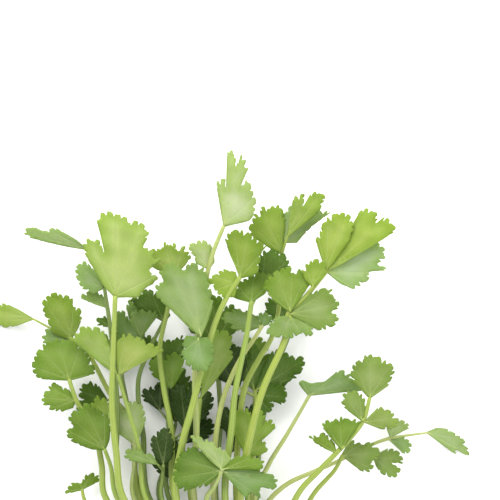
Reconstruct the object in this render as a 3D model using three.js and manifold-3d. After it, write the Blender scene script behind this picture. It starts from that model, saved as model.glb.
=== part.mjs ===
// Bunch of cut coriander lying on its side. Lengths are in mm.
// X runs across the bunch, Y along it from the cut ends to the leaf tips, Z up from the table.
import * as THREE from "three";
import Module from "manifold-3d";

const wasm = await Module();
wasm.setup();
const { Manifold, Mesh: SolidMesh } = wasm;

// Driving dimensions
const BLADE_THICKNESS = 0.7;
const STALK_TIP_RADIUS = 0.5;
const SUB_STALK_RADIUS = 0.62;
const STALK_TAPER = 0.58;
const BUNDLE_COLUMN_PITCH = 3.7;
const BUNDLE_ROW_PITCH = 3.5;
const BUNDLE_FLOOR = 1.17;
const BUNDLE_LENGTH = 22;
const FAN_OUT_AT = 54;
const FAN_OUT_SHARE = 0.42;
const SPAN_EASE = 0.5;
const CUT_END_JITTER = 3;
const STALK_INTO_BLADE = 2.2;
const BLADE_INTO_STALK = 0.9;
const BOX_CENTRE_SHIFT = [2.8, -108.86, 0.0];

// Detail of the faceted solids
const STALK_SIDES = 5;
const STALK_STEP_LENGTH = 19;
const SUB_STALK_SIDES = 4;
const SUB_STALK_STEPS = 3;

// Shape of the leaflets
// Each lobe's edge from side to side: share of its half width, share of its reach
const WIDE_EDGE = [[-1, 0.84], [-0.55, 1], [0, 0.93], [0.55, 1], [1, 0.84]];
const NARROW_EDGE = [[-0.9, 0.84], [0, 1], [0.9, 0.84]];
// Edges are given in steps of this many mm, right of and down from an origin
const EDGE_UNIT = 0.4;
const EDGE_ORIGIN = [235, 695];
const LOBE_WIDENING = 1.22;
const WIDEST_HALF = 0.9;
const LOBE_FILL = 0.86;
const SINUS_DEPTH = 0.77;
const FLANK_TURN = 0.22;
const FLANK_SHARE = 0.8;
const FLANK_REACH = 0.56;
const SMALL_LEAF = 16;
const RING_AT = 0.52;
const WAVE_HEIGHT = 0.035;
const CUP = 0.1;
const WIDE_LOBE = 4.6;

const COLOURS = {
  bright: 0x9dbb56,
  mid: 0x7f9f48,
  pale: 0xa9bd84,
  dark: 0x4f6f33,
};

// Stalks in each row of the bundle, from the table upwards
const ROW_COUNTS = [4, 6, 8, 6, 6];

// Every leafy stem. slot is its column and row in the bundle and path the stalk above the bundle.
// Each leaf has its base, the tips of its lobes (x, y, half width), its slope along x and y, its droop
// at the tip, and joint, the share of the path at which it leaves the stalk (1 is the end). A leaf
// whose cut edge is not just its lobes side by side has its edge too, from right to left.
const STEMS = {
  "left_tall": {"slot": [0, 4], "radius": 1.45, "tone": "bright",
    "path": [[-44.8, 78, 24], [-47.6, 97, 29], [-49.2, 116.5, 34], [-48.6, 135, 39], [-47.6, 159.6, 44]],
    "leaves": [
      {"base": [-47.6, 159.6, 44], "slope": [0.05, 0.2], "droop": -5, "joint": 1,
        "tips": [[-57, 181.5, 6], [-47.5, 192.5, 9], [-36, 186.5, 6], [-31, 168, 6]],
        "edge": [[128, 297], [139, 297], [146, 288], [158, 280], [150, 270], [160, 261], [149, 250],
          [144, 247], [149, 236], [144, 226], [127, 219], [109, 213], [98, 219], [102, 238], [105, 252],
          [100, 242], [89, 240], [85, 250], [95, 270], [107, 289]]},
    ]},
  "centre_thick": {"slot": [1, 4], "radius": 1.45, "tone": "mid",
    "path": [[-23.6, 78, 24], [-21.2, 100, 29.5], [-17.2, 114.8, 33], [-13.2, 130.4, 37], [-7.6, 149.6, 40.5],
      [-2.8, 160, 42], [2, 167.2, 43.5]],
    "leaves": [
      {"base": [2, 167.2, 43.5], "slope": [0, 0.1], "droop": 0, "joint": 1,
        "tips": [[-3.5, 180.5, 3.5], [-0.5, 186, 4.2], [5.5, 185.5, 4.6], [11.5, 177.5, 4.6]],
        "edge": [[252, 276], [258, 272], [259, 262], [261, 253], [266, 246], [260, 243], [252, 238],
          [247, 233], [239, 231], [231, 232], [226, 240], [229, 252], [235, 266]]},
      {"base": [0.8, 165, 43], "slope": [-0.1, 0], "droop": -1, "joint": 0.95,
        "tips": [[-10.5, 168, 4.5], [-10, 161.5, 4.5]],
        "edge": [[236, 272], [224, 270], [216, 275], [207, 280], [214, 286], [218, 292], [226, 297],
          [235, 296]]},
    ]},
  "centre_tall": {"slot": [2, 4], "radius": 1.3, "tone": "pale",
    "path": [[-16.5, 78, 20], [-15.5, 105, 26], [-16, 125, 30], [-15, 142, 34], [-12.4, 162, 39],
      [-9, 176, 43], [-4.4, 187.6, 46]],
    "leaves": [
      {"base": [-4.4, 187.6, 46], "slope": [0.08, 0.2], "droop": -4, "joint": 1,
        "tips": [[-5.5, 205, 3.2], [-1.5, 217.5, 5], [4.3, 213.5, 4.6], [7.5, 199, 5.5]],
        "edge": [[233, 225], [249, 221], [254, 213], [255, 202], [250, 188], [248, 180], [241, 187],
          [247, 172], [246, 164], [241, 157], [236, 167], [235, 156], [229, 151], [227, 158],
          [226, 188], [225, 181], [219, 182], [217, 188], [219, 201], [221, 213]]},
      {"base": [-13.5, 144, 44.5], "slope": [-0.05, 0.12], "droop": 1, "joint": 0.5,
        "tips": [[-30, 162.5, 5], [-25, 172, 6], [-18, 171, 6], [-8.5, 160, 6]],
        "edge": [[208, 322], [213, 304], [209, 286], [204, 269], [191, 264], [184, 270], [172, 263],
          [161, 272], [164, 281], [157, 287], [160, 299], [171, 309], [183, 321], [191, 329]]},
      {"base": [-14.5, 143, 43.5], "slope": [0, 0.05], "droop": 1, "joint": 0.48,
        "tips": [[-20.5, 137.5, 4], [-17.5, 132, 4.5], [-12.5, 131, 4]],
        "edge": [[186, 335], [183, 346], [184, 358], [190, 366], [198, 370], [207, 369], [213, 358],
          [213, 345], [208, 337]]},
      {"base": [-10.5, 170.5, 42], "slope": [-0.1, 0.1], "droop": 0, "joint": 0.78,
        "tips": [[-17.2, 180, 4], [-12.5, 182, 4]],
        "edge": [[215, 262], [213, 251], [208, 243], [201, 241], [195, 244], [189, 246], [192, 253],
          [195, 257], [197, 264]]},
    ]},
  "front_low": {"slot": [3, 4], "radius": 1.2, "tone": "bright",
    "path": [[-11.4, 78, 27.5], [-8.4, 83.2, 31], [-5.2, 90, 35]],
    "leaves": [
      {"base": [-5.2, 90, 35], "slope": [0.1, 0.05], "droop": 0, "joint": 1,
        "tips": [[-23.5, 95, 5], [-23, 87, 5], [-16, 82.5, 3.5]],
        "edge": [[217, 462], [205, 452], [196, 448], [186, 449], [180, 456], [176, 464], [174, 474],
          [177, 485], [185, 490], [196, 487], [208, 485], [216, 478]]},
      {"base": [-5.5, 90.5, 36], "slope": [0, 0.15], "droop": 0, "joint": 0.98,
        "tips": [[-16, 103, 4], [-10, 102.5, 4.5], [-4.4, 99.5, 4]],
        "edge": [[232, 460], [226, 451], [217, 446], [207, 440], [192, 436], [196, 444], [203, 452],
          [211, 461]]},
      {"base": [-4.8, 89.5, 35], "slope": [-0.02, 0], "droop": 0, "joint": 0.95,
        "tips": [[14.8, 88, 4], [16.4, 84.3, 4], [9.2, 80, 4.5]],
        "edge": [[233, 484], [244, 496], [252, 493], [259, 497], [261, 487], [272, 489], [277, 482],
          [272, 475], [262, 472], [250, 468], [238, 463]]},
      {"base": [-4.6, 90.5, 36.2], "slope": [0.05, 0.1], "droop": 0, "joint": 0.97,
        "tips": [[5.6, 95, 3], [11.6, 93, 3]],
        "edge": [[258, 469], [264, 465], [262, 460], [250, 456], [240, 455], [233, 458]]},
    ]},
  "centre_right": {"slot": [4, 4], "radius": 1.45, "tone": "mid",
    "path": [[-4, 78, 24.5], [-1.2, 108, 30], [0, 120.8, 33], [4.8, 144.8, 36], [6.6, 157.5, 38]],
    "leaves": [
      {"base": [6.6, 157.5, 38], "slope": [0, -0.05], "droop": -1, "joint": 1,
        "tips": [[0.5, 164.5, 3.6], [7.5, 169, 4.6], [14.5, 165.5, 4.4]],
        "edge": [[262, 296], [270, 287], [271, 276], [258, 273], [247, 279], [238, 284], [231, 295],
          [240, 300]]},
      {"base": [11, 165, 35.5], "slope": [0, 0], "droop": -1, "joint": 0.94,
        "tips": [[12, 176.5, 4.6], [20.5, 173.5, 5]],
        "edge": [[278, 280], [289, 272], [288, 262], [283, 254], [272, 250], [262, 253], [259, 264],
          [258, 274]]},
    ]},
  "right_main": {"slot": [5, 4], "radius": 1.45, "tone": "bright",
    "path": [[2, 78, 24.5], [6.4, 104.8, 31], [11.2, 122.4, 36], [20, 142.8, 40], [21.6, 152.8, 42],
      [27.6, 158.8, 43], [36.4, 169.6, 45]],
    "leaves": [
      {"base": [36.4, 169.6, 45], "slope": [0.05, 0.25], "droop": -4, "joint": 1,
        "tips": [[33, 183, 4], [37, 191.5, 4.5], [44.5, 192.5, 5]],
        "edge": [[333, 262], [343, 248], [349, 238], [352, 226], [349, 217], [340, 214], [332, 216],
          [324, 222], [320, 233], [316, 241], [318, 250], [321, 259]]},
      {"base": [36.8, 169.6, 44.5], "slope": [0.12, 0.12], "droop": -5, "joint": 0.99,
        "tips": [[51.5, 193, 5], [59.5, 190.5, 4.5], [63, 185, 4]],
        "edge": [[345, 262], [392, 233], [390, 225], [384, 218], [375, 223], [376, 215], [366, 210],
          [358, 214], [352, 224]]},
      {"base": [36.8, 169.2, 44], "slope": [-0.1, -0.05], "droop": -2, "joint": 0.98,
        "tips": [[59.5, 177.5, 5], [61, 169, 1.6], [54, 167, 4], [47, 163, 4]],
        "edge": [[340, 284], [352, 288], [360, 284], [368, 278], [369, 272], [386, 270], [377, 264],
          [383, 259], [384, 251], [378, 245], [371, 240], [352, 249]]},
      {"base": [22, 153.6, 44], "slope": [0, 0.1], "droop": 0, "joint": 0.7,
        "tips": [[11.6, 162.4, 4], [16.4, 169.6, 5], [22.8, 170.8, 4.5], [28.4, 168.8, 4]],
        "edge": [[299, 300], [308, 286], [308, 276], [301, 269], [295, 274], [290, 268], [281, 270],
          [272, 275], [264, 286], [268, 293], [276, 303]]},
      {"base": [31, 163.5, 46], "slope": [0.1, 0.15], "droop": 0, "joint": 0.86,
        "tips": [[28, 171.6, 2.5], [31.6, 173.6, 3], [35.6, 171.6, 2.5]],
        "edge": [[320, 281], [325, 272], [324, 262], [315, 260], [307, 264], [302, 271], [305, 280]]},
      {"base": [22, 152.6, 43.5], "slope": [0.05, 0.05], "droop": 2, "joint": 0.68,
        "tips": [[37, 162, 4.5], [41, 157, 4.5], [40.8, 150.5, 4.5]],
        "edge": [[300, 320], [314, 328], [324, 328], [333, 324], [337, 317], [331, 312], [337, 307],
          [337, 301], [332, 296], [330, 289], [318, 290], [306, 297]]},
      {"base": [22, 151.4, 43.2], "slope": [0.05, 0.05], "droop": 1, "joint": 0.66,
        "tips": [[34.5, 146, 4.5], [28, 143, 5], [18, 143, 5.5]],
        "edge": [[277, 316], [270, 325], [268, 334], [280, 336], [290, 337], [300, 333], [309, 335],
          [314, 328], [304, 322]]},
    ]},
  "left_low": {"slot": [0, 3], "radius": 1.1, "tone": "dark",
    "path": [[-47.5, 78, 18.5], [-50, 91, 22], [-52.4, 98, 25]],
    "leaves": [
      {"base": [-52.4, 98, 25], "slope": [-0.1, 0.16], "droop": -2.5, "joint": 1,
        "tips": [[-67, 105.5, 4], [-66, 111.5, 4], [-60.5, 116, 5], [-52.5, 112.5, 5.5]],
        "edge": [[109, 441], [110, 428], [107, 417], [101, 413], [96, 410], [90, 406], [83, 405],
          [77, 411], [71, 414], [69, 421], [73, 427], [67, 433], [70, 440], [80, 446], [91, 450]]},
    ]},
  "left_pair": {"slot": [1, 3], "radius": 1.15, "tone": "mid",
    "path": [[-36, 78, 18.5], [-38.5, 98, 23], [-42.8, 113.6, 26.5], [-46.8, 127.5, 30]],
    "leaves": [
      {"base": [-47.2, 128.2, 30], "slope": [0.03, 0.1], "droop": 0, "joint": 1,
        "tips": [[-63, 145, 4], [-56, 146.5, 5], [-51, 140, 4]],
        "edge": [[113, 358], [109, 345], [104, 334], [98, 329], [90, 328], [82, 328], [76, 334],
          [71, 339], [81, 348], [92, 357], [104, 367]]},
      {"base": [-46.6, 128, 30], "slope": [0, 0.08], "droop": 0, "joint": 0.98,
        "tips": [[-44, 144.5, 5.5], [-34, 141.5, 5], [-30, 137, 3.5]],
        "edge": [[131, 369], [146, 361], [162, 351], [151, 345], [141, 340], [130, 335], [122, 336],
          [117, 345]]},
    ]},
  "low_dark": {"slot": [2, 3], "radius": 1.0, "tone": "dark",
    "path": [[-29.5, 78, 18], [-29.2, 86, 20], [-28.8, 91.6, 21.5]],
    "leaves": [
      {"base": [-28.8, 91.6, 21.5], "slope": [0, 0.02], "droop": 0, "joint": 1,
        "tips": [[-32, 103.2, 3], [-27, 106.8, 3.5]],
        "edge": [[171, 460], [174, 450], [171, 438], [167, 428], [162, 431], [158, 433], [151, 441],
          [152, 452], [156, 462]]},
      {"base": [-31, 91.8, 24.2], "slope": [-0.22, 0.05], "droop": 0, "joint": 0.8,
        "tips": [[-44, 97, 2.6], [-40.5, 99.5, 2.6]],
        "edge": [[152, 455], [140, 452], [129, 450], [125, 456], [130, 461], [142, 464]]},
    ]},
  "centre_flat": {"slot": [3, 3], "radius": 1.15, "tone": "pale",
    "path": [[-8.5, 78, 18.5], [-8, 100, 23.2], [-5.5, 115.6, 26], [-1.5, 127, 28.2], [3.2, 136, 30],
      [7.6, 142.4, 31.2], [10.8, 147.6, 32.5]],
    "leaves": [
      {"base": [10.8, 147.6, 32.5], "slope": [0.05, 0], "droop": 0, "joint": 1,
        "tips": [[-5, 151, 3.5], [0, 147, 3.5]],
        "edge": [[256, 316], [246, 311], [236, 310], [226, 313], [222, 319], [228, 324], [236, 330],
          [248, 332]]},
      {"base": [11, 147.8, 32.5], "slope": [0, 0], "droop": 0, "joint": 0.98,
        "tips": [[12.5, 152.5, 3]]},
    ]},
  "low_bright": {"slot": [4, 3], "radius": 1.1, "tone": "bright",
    "path": [[5, 78, 18.5], [4.6, 88, 21], [4.4, 96, 22.5]],
    "leaves": [
      {"base": [4.4, 96, 22.5], "slope": [0, 0.1], "droop": 0, "joint": 1,
        "tips": [[4, 114, 5], [9.5, 113.5, 4.5], [15, 109, 3.5], [12.6, 99.8, 2.6]]},
    ]},
  "right_round": {"slot": [5, 3], "radius": 1.2, "tone": "mid",
    "path": [[25.5, 80, 18.9], [34, 89.5, 21.8], [42.8, 98.8, 25], [51.2, 109.2, 27], [54, 118.8, 29]],
    "leaves": [
      {"base": [54, 118.8, 29], "slope": [0, 0.1], "droop": -1, "joint": 1,
        "tips": [[48.5, 130.5, 4.5], [54.5, 135.2, 4.5], [61.5, 131.5, 4.5], [62.5, 125, 3.5]],
        "edge": [[379, 393], [387, 387], [391, 379], [394, 371], [390, 364], [384, 361], [377, 357],
          [367, 356], [360, 361], [354, 366], [352, 375], [354, 383], [361, 390]]},
      {"base": [51, 109.6, 28.4], "slope": [-0.1, 0.1], "droop": 0, "joint": 0.8,
        "tips": [[44, 120.5, 4], [49.5, 121.5, 3.5]],
        "edge": [[366, 411], [365, 401], [360, 394], [351, 391], [344, 395], [342, 401], [345, 408],
          [353, 415]]},
      {"base": [52, 109, 27.4], "slope": [0.1, 0], "droop": -1, "joint": 0.78,
        "tips": [[58, 115, 3.5], [64.5, 111, 4], [61, 106.5, 3]],
        "edge": [[380, 429], [391, 429], [398, 424], [395, 418], [393, 414], [386, 410], [379, 408],
          [373, 413], [369, 417]]},
      {"base": [42.8, 98, 26.5], "slope": [0, 0.2], "droop": 0, "joint": 0.56,
        "tips": [[36.5, 108, 4], [42, 111, 4.5], [48.5, 109.5, 3.5]],
        "edge": [[351, 438], [360, 424], [354, 420], [347, 420], [341, 418], [334, 421], [326, 422],
          [322, 427], [326, 432], [331, 439]]},
      {"base": [40.6, 96.4, 25], "slope": [-0.05, 0.1], "droop": 0, "joint": 0.53,
        "tips": [[30.5, 103, 2.5], [36, 104.5, 3]],
        "edge": [[335, 444], [329, 438], [324, 434], [318, 437], [310, 437], [315, 443], [324, 449]]},
    ]},
  "left_broad": {"slot": [0, 2], "radius": 1.25, "tone": "bright",
    "path": [[-52.4, 78, 13], [-53.8, 91, 14.6], [-56.5, 104, 16.6], [-61.5, 113, 18], [-64, 117.6, 19],
      [-66.8, 126, 20.5]],
    "leaves": [
      {"base": [-66.8, 126, 20.5], "slope": [0.05, 0.2], "droop": -3, "joint": 1,
        "tips": [[-81, 131, 4.2], [-78.5, 138.5, 5], [-71, 141.5, 5], [-63, 137.5, 5], [-58.5, 128, 5]],
        "edge": [[82, 378], [93, 373], [88, 358], [80, 347], [66, 341], [52, 341], [41, 347], [34, 358],
          [31, 369], [38, 379], [54, 381]]},
      {"base": [-64.6, 117.4, 18.4], "slope": [0.05, 0], "droop": 0, "joint": 0.79,
        "tips": [[-73.5, 122.2, 2.4], [-76.5, 118.5, 3], [-73, 114.5, 3]],
        "edge": [[68, 391], [60, 388], [54, 384], [47, 389], [43, 396], [41, 402], [45, 408], [52, 411],
          [62, 412], [72, 409]]},
    ]},
  "left_back": {"slot": [1, 2], "radius": 1.1, "tone": "dark",
    "path": [[-45.5, 78, 13], [-47.5, 118, 19], [-49.8, 144, 23], [-51.2, 154.8, 26], [-52.4, 163, 28]],
    "leaves": [
      {"base": [-58.8, 178, 32], "slope": [0.05, 0.5], "droop": 0, "joint": 1,
        "tips": [[-84, 185.3, 2], [-72.5, 185, 2.2]],
        "edge": [[77, 240], [67, 234], [56, 229], [44, 231], [34, 227], [25, 231], [29, 237], [42, 241],
          [54, 244], [68, 247]]},
      {"base": [-52.4, 163, 28], "slope": [0, 0.1], "droop": 0, "joint": 1,
        "tips": [[-63, 172.5, 3.5], [-63, 166.5, 3.5]],
        "edge": [[92, 268], [84, 262], [77, 267], [76, 274], [79, 282], [84, 289], [93, 294]]},
      {"base": [-51.2, 154.8, 26], "slope": [0.1, 0], "droop": 0, "joint": 0.9,
        "tips": [[-62, 159, 2.8], [-56, 161.5, 2.5]],
        "edge": [[104, 297], [96, 292], [87, 293], [79, 297], [88, 302], [98, 306]]},
      {"base": [-50, 147.2, 24], "slope": [0, 0], "droop": 0, "joint": 0.8,
        "tips": [[-55, 150.4, 1.8]]},
    ]},
  "low_pale": {"slot": [2, 2], "radius": 1.0, "tone": "pale",
    "path": [[-41, 78, 13], [-40.6, 92, 14.6], [-40.4, 99.6, 15.4]],
    "leaves": [
      {"base": [-40.4, 99.6, 15.4], "slope": [0, 0], "droop": 0, "joint": 1,
        "tips": [[-48, 114.8, 4.5], [-42, 116.5, 4.5]]},
      {"base": [-50.8, 110, 13.2], "slope": [0, 0], "droop": 0, "joint": 0.97,
        "tips": [[-57.6, 117.2, 3.5], [-52.8, 118.8, 3.5]],
        "edge": [[108, 408], [105, 402], [100, 399], [95, 398], [93, 404], [90, 406], [97, 413]]},
    ]},
  "inner_bright": {"slot": [3, 2], "radius": 1.2, "tone": "bright",
    "path": [[-24.5, 78, 13], [-25.6, 105, 17], [-28.8, 122.8, 19.5], [-30.3, 138, 22.8], [-27, 154, 27.8],
      [-24.2, 167.8, 33.5]],
    "leaves": [
      {"base": [-24.2, 167.8, 33.5], "slope": [0.1, 0.25], "droop": -2, "joint": 1,
        "tips": [[-34, 177, 3.5], [-28, 181, 5], [-21, 179.5, 4.5], [-18, 175.5, 3]],
        "edge": [[184, 267], [190, 258], [187, 251], [184, 247], [178, 251], [174, 243], [169, 246],
          [165, 243], [161, 249], [153, 250], [145, 256], [148, 264], [158, 270]]},
    ]},
  "centre_folded": {"slot": [4, 2], "radius": 1.15, "tone": "bright",
    "path": [[-18, 78, 12.5], [-15.6, 102, 16], [-14, 118, 18.5]],
    "leaves": [
      {"base": [-14, 118, 18.5], "slope": [0, 0.12], "droop": 0, "joint": 1,
        "tips": [[-5.5, 141, 3.5], [0, 143, 3.5], [-0.8, 136, 3.5]],
        "edge": [[213, 385], [222, 373], [230, 362], [232, 355], [229, 350], [233, 342], [227, 333],
          [216, 332], [210, 340], [205, 358]]},
    ]},
  "right_top": {"slot": [5, 2], "radius": 1.25, "tone": "bright",
    "path": [[0.5, 78, 13], [1.4, 104, 17], [4, 123, 20], [9.5, 134, 21.6], [15.2, 144, 23.7],
      [18.4, 162, 27], [18.8, 176.4, 31]],
    "leaves": [
      {"base": [18.8, 176.4, 31], "slope": [-0.1, 0.2], "droop": -3, "joint": 1,
        "tips": [[7, 188, 4.5], [11, 194, 4.5], [18, 195, 4.5]],
        "edge": [[284, 238], [285, 222], [281, 208], [275, 206], [269, 209], [262, 208], [260, 217],
          [255, 215], [253, 222], [250, 228], [251, 236], [262, 243], [272, 250]]},
      {"base": [20.8, 183, 34], "slope": [0.1, 0.2], "droop": 0, "joint": 1,
        "tips": [[23.5, 199, 4.5], [28.5, 201, 4], [33.5, 199.5, 4]],
        "edge": [[318, 212], [321, 205], [325, 198], [317, 193], [310, 195], [303, 206], [304, 195],
          [297, 197], [293, 199], [291, 208]]},
      {"base": [20, 181, 31.5], "slope": [-0.05, 0], "droop": 0, "joint": 1,
        "tips": [[37, 192.5, 3], [29.5, 185.5, 3.5]],
        "edge": [[297, 243], [309, 229], [322, 219], [330, 212], [316, 212], [302, 210], [291, 207],
          [286, 213], [282, 217], [280, 232]]},
    ]},
  "right_edgewise": {"slot": [6, 2], "radius": 1.0, "tone": "pale",
    "path": [[8, 78, 13], [13.6, 91.6, 15], [20.4, 102.8, 17], [24.8, 110.4, 18], [30, 119.6, 20]],
    "leaves": [
      {"base": [30, 119.6, 20], "slope": [0.15, 0.45], "droop": -3, "joint": 1,
        "tips": [[27, 125.5, 1.8], [39.5, 127, 2.2], [47, 127.5, 3], [51.5, 123.5, 2.2]],
        "edge": [[345, 393], [364, 391], [352, 380], [349, 374], [342, 372], [335, 374], [325, 382],
          [318, 383], [311, 384], [303, 381], [299, 384], [303, 390]]},
    ]},
  "right_low": {"slot": [7, 2], "radius": 1.1, "tone": "mid",
    "path": [[31, 78.4, 13], [40.4, 89.6, 16], [43.2, 95.2, 17.5]],
    "leaves": [
      {"base": [43.2, 95.2, 17.5], "slope": [0.05, 0.05], "droop": 0, "joint": 1,
        "tips": [[46.8, 101.5, 3.5], [53.5, 101, 4], [58, 96.5, 4], [55, 90, 4.5], [48, 90.5, 3.5]],
        "edge": [[353, 466], [360, 471], [369, 473], [374, 467], [373, 463], [380, 456], [378, 450],
          [372, 444], [364, 445], [357, 444], [351, 441], [347, 447]]},
      {"base": [56, 94.4, 14], "slope": [-0.05, 0], "droop": 0, "joint": 0.97,
        "tips": [[62, 98, 3.5], [67, 93.5, 4], [64.5, 87, 4], [57.5, 88.5, 3]],
        "edge": [[377, 468], [382, 474], [390, 478], [397, 478], [401, 471], [393, 465], [403, 465],
          [403, 460], [399, 454], [390, 451], [383, 453]]},
    ]},
  "low_tiny": {"slot": [0, 1], "radius": 0.9, "tone": "mid",
    "path": [[-59, 73, 7], [-61.4, 78, 7.5], [-62, 81.2, 8]],
    "leaves": [
      {"base": [-62, 81.2, 8], "slope": [0, 0.1], "droop": 0, "joint": 1,
        "tips": [[-68.6, 80.5, 2], [-64, 86.5, 2.8], [-58, 88, 2.8], [-54.8, 84.5, 2.5]],
        "edge": [[88, 489], [95, 485], [97, 480], [89, 476], [82, 480], [79, 486], [72, 485], [66, 491],
          [64, 496], [73, 495]]},
    ]},
  "left_edge": {"slot": [1, 1], "radius": 1.2, "tone": "mid",
    "path": [[-39, 78, 8], [-41.6, 107.6, 9.6], [-50.4, 119.6, 10.6], [-60, 137, 13], [-66.4, 142, 15]],
    "leaves": [
      {"base": [-66.4, 142, 15], "slope": [0.1, 0.25], "droop": -3, "joint": 1,
        "tips": [[-77, 157.5, 4], [-71, 160, 4.5], [-65, 158.5, 4], [-62, 151, 3]],
        "edge": [[77, 329], [80, 319], [78, 310], [72, 307], [71, 300], [66, 297], [61, 297], [55, 294],
          [48, 296], [42, 302], [42, 311], [47, 323], [51, 334]]},
      {"base": [-66.6, 141.6, 14.6], "slope": [0.15, 0], "droop": 0, "joint": 0.98,
        "tips": [[-77.8, 143, 3.5], [-74, 147, 3]],
        "edge": [[60, 331], [50, 329], [44, 331], [41, 336], [42, 343], [48, 347], [58, 345]]},
      {"base": [-81.6, 150, 8.15], "slope": [0.4, 0], "droop": -0.6, "joint": 1,
        "tips": [[-92.5, 155.4, 2.4], [-98.8, 154, 3], [-99, 149.4, 3], [-92.5, 147, 2.4]],
        "edge": [[17, 311], [8, 307], [-1, 305], [-10, 309], [-15, 317], [-8, 324], [3, 328],
          [13, 327]]},
    ]},
  "inner_curly": {"slot": [2, 1], "radius": 1.15, "tone": "dark",
    "path": [[-35, 78, 8], [-37.2, 103, 10], [-38.8, 114, 11.5], [-39, 126, 13], [-35, 137, 15.5],
      [-28.8, 149.2, 17]],
    "leaves": [
      {"base": [-28.8, 149.2, 17], "slope": [0, 0.1], "droop": -1, "joint": 1,
        "tips": [[-39, 157, 4.5], [-34, 161.5, 5], [-28, 154.5, 4.5]],
        "edge": [[170, 316], [167, 309], [164, 303], [158, 298], [153, 293], [146, 290], [139, 296],
          [131, 301], [137, 308], [149, 315]]},
      {"base": [-38, 142.8, 19], "slope": [0, 0.15], "droop": 0, "joint": 0.8,
        "tips": [[-41.5, 152.5, 3.5], [-34.5, 153.5, 3.5]],
        "edge": [[150, 326], [157, 315], [146, 311], [133, 312], [129, 320], [133, 330]]},
      {"base": [-38.5, 133, 15], "slope": [0.05, 0], "droop": 0, "joint": 0.72,
        "tips": [[-46.5, 153, 4], [-42, 157.5, 4]]},
    ]},
  "inner_dark": {"slot": [3, 1], "radius": 1.1, "tone": "dark",
    "path": [[-27, 78, 8], [-27, 104, 9.5], [-28, 128, 11.8]],
    "leaves": [
      {"base": [-28, 128, 11.8], "slope": [0, 0.03], "droop": 0, "joint": 1,
        "tips": [[-36, 141, 4], [-30, 144, 5], [-21.5, 141, 4]],
        "edge": [[182, 362], [184, 348], [181, 337], [174, 341], [165, 342], [158, 343], [148, 337],
          [141, 341], [148, 352], [152, 362]]},
      {"base": [-25.5, 122, 13.4], "slope": [0, 0.1], "droop": 0, "joint": 0.9,
        "tips": [[-32, 135, 4], [-25, 136.5, 4]]},
      {"base": [-20, 105, 12.6], "slope": [0, 0.08], "droop": 0, "joint": 0.42,
        "tips": [[-22, 123.5, 4.5], [-15.5, 126, 4.8], [-11, 120.5, 3.8]]},
      {"base": [-23.4, 84.5, 10.4], "slope": [0, 0.1], "droop": 0, "joint": 0.06,
        "tips": [[-31, 96, 4.2], [-23.5, 100.5, 4.6], [-16, 97, 4.2]]},
    ]},
  "right_dark": {"slot": [4, 1], "radius": 1.2, "tone": "dark",
    "path": [[6, 78, 8], [8, 105, 9.6], [8, 121, 11]],
    "leaves": [
      {"base": [8, 121, 11], "slope": [0, 0.08], "droop": 0, "joint": 1,
        "tips": [[20, 137, 5], [27.5, 133.5, 4.5], [25, 127, 4]],
        "edge": [[285, 385], [297, 378], [304, 366], [302, 359], [290, 357], [280, 351], [270, 356],
          [262, 372]]},
      {"base": [8.2, 119.6, 11], "slope": [0, 0.05], "droop": 0, "joint": 0.97,
        "tips": [[20.5, 118.5, 5], [14, 113, 5]]},
      {"base": [7.6, 121.5, 11], "slope": [0, 0.02], "droop": 0, "joint": 0.98,
        "tips": [[2, 138, 4.5], [7, 139.5, 4]]},
      {"base": [1.6, 122.5, 13], "slope": [0, 0.1], "droop": 0, "joint": 0.93,
        "tips": [[-8, 135, 4], [-1.5, 139.5, 4]]},
      {"base": [1.5, 101, 12], "slope": [0, 0.08], "droop": 0, "joint": 0.42,
        "tips": [[-4.5, 114, 4], [1, 119, 4.6], [7, 115, 4]]},
    ]},
  "right_far": {"slot": [5, 1], "radius": 1.0, "tone": "pale",
    "path": [[11.6, 73, 7.2], [20, 82.5, 7.5], [31.6, 88.2, 8], [39.6, 91.6, 8.4], [56, 99.6, 9],
      [62.8, 102, 9]],
    "leaves": [
      {"base": [77.6, 104, 8.12], "slope": [-0.4, 0], "droop": -0.7, "joint": 1,
        "tips": [[84.8, 105.4, 2.2], [91, 101.5, 3.4], [94.6, 95.8, 3], [87, 98.6, 2.4]],
        "edge": [[452, 453], [458, 456], [460, 453], [471, 459], [470, 450], [465, 442], [456, 436],
          [448, 431], [439, 430]]},
      {"base": [63, 102.4, 9.6], "slope": [0, 0.1], "droop": 0, "joint": 1,
        "tips": [[65, 110, 3], [70, 107.5, 2.8]],
        "edge": [[400, 436], [409, 431], [410, 427], [404, 423], [398, 421], [391, 424], [388, 431]]},
      {"base": [62, 101.4, 8.6], "slope": [0, 0], "droop": 0, "joint": 0.98,
        "tips": [[69, 99.4, 2.2], [69.8, 94.4, 2.2]],
        "edge": [[402, 454], [409, 455], [413, 449], [409, 442], [401, 438]]},
    ]},
  "under_left": {"slot": [0, 0], "radius": 1.15, "tone": "mid",
    "path": [[-38, 78, 3.2], [-42, 105, 4], [-46, 128, 5]],
    "leaves": [
      {"base": [-46, 128, 5], "slope": [0, 0.05], "droop": 0, "joint": 1,
        "tips": [[-54, 143, 5], [-46, 147, 5.5], [-38, 143, 5]]},
      {"base": [-52, 117, 5], "slope": [0, 0], "droop": 0, "joint": 0.8,
        "tips": [[-63, 121, 4.5], [-64, 114, 4]]},
    ]},
  "inner_small": {"slot": [1, 0], "radius": 1.0, "tone": "dark",
    "path": [[-31, 78, 3.2], [-27, 95, 4.2], [-24, 108, 5.6]],
    "leaves": [
      {"base": [-24, 108, 5.6], "slope": [0, 0.05], "droop": 0, "joint": 1,
        "tips": [[-28, 127, 4], [-22.5, 130, 4]]},
      {"base": [-30.5, 113, 6.4], "slope": [0, 0], "droop": 0, "joint": 0.9,
        "tips": [[-36, 122, 3], [-30.5, 123.5, 3]]},
      {"base": [-20, 100, 6], "slope": [0, 0], "droop": 0, "joint": 0.75,
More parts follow.
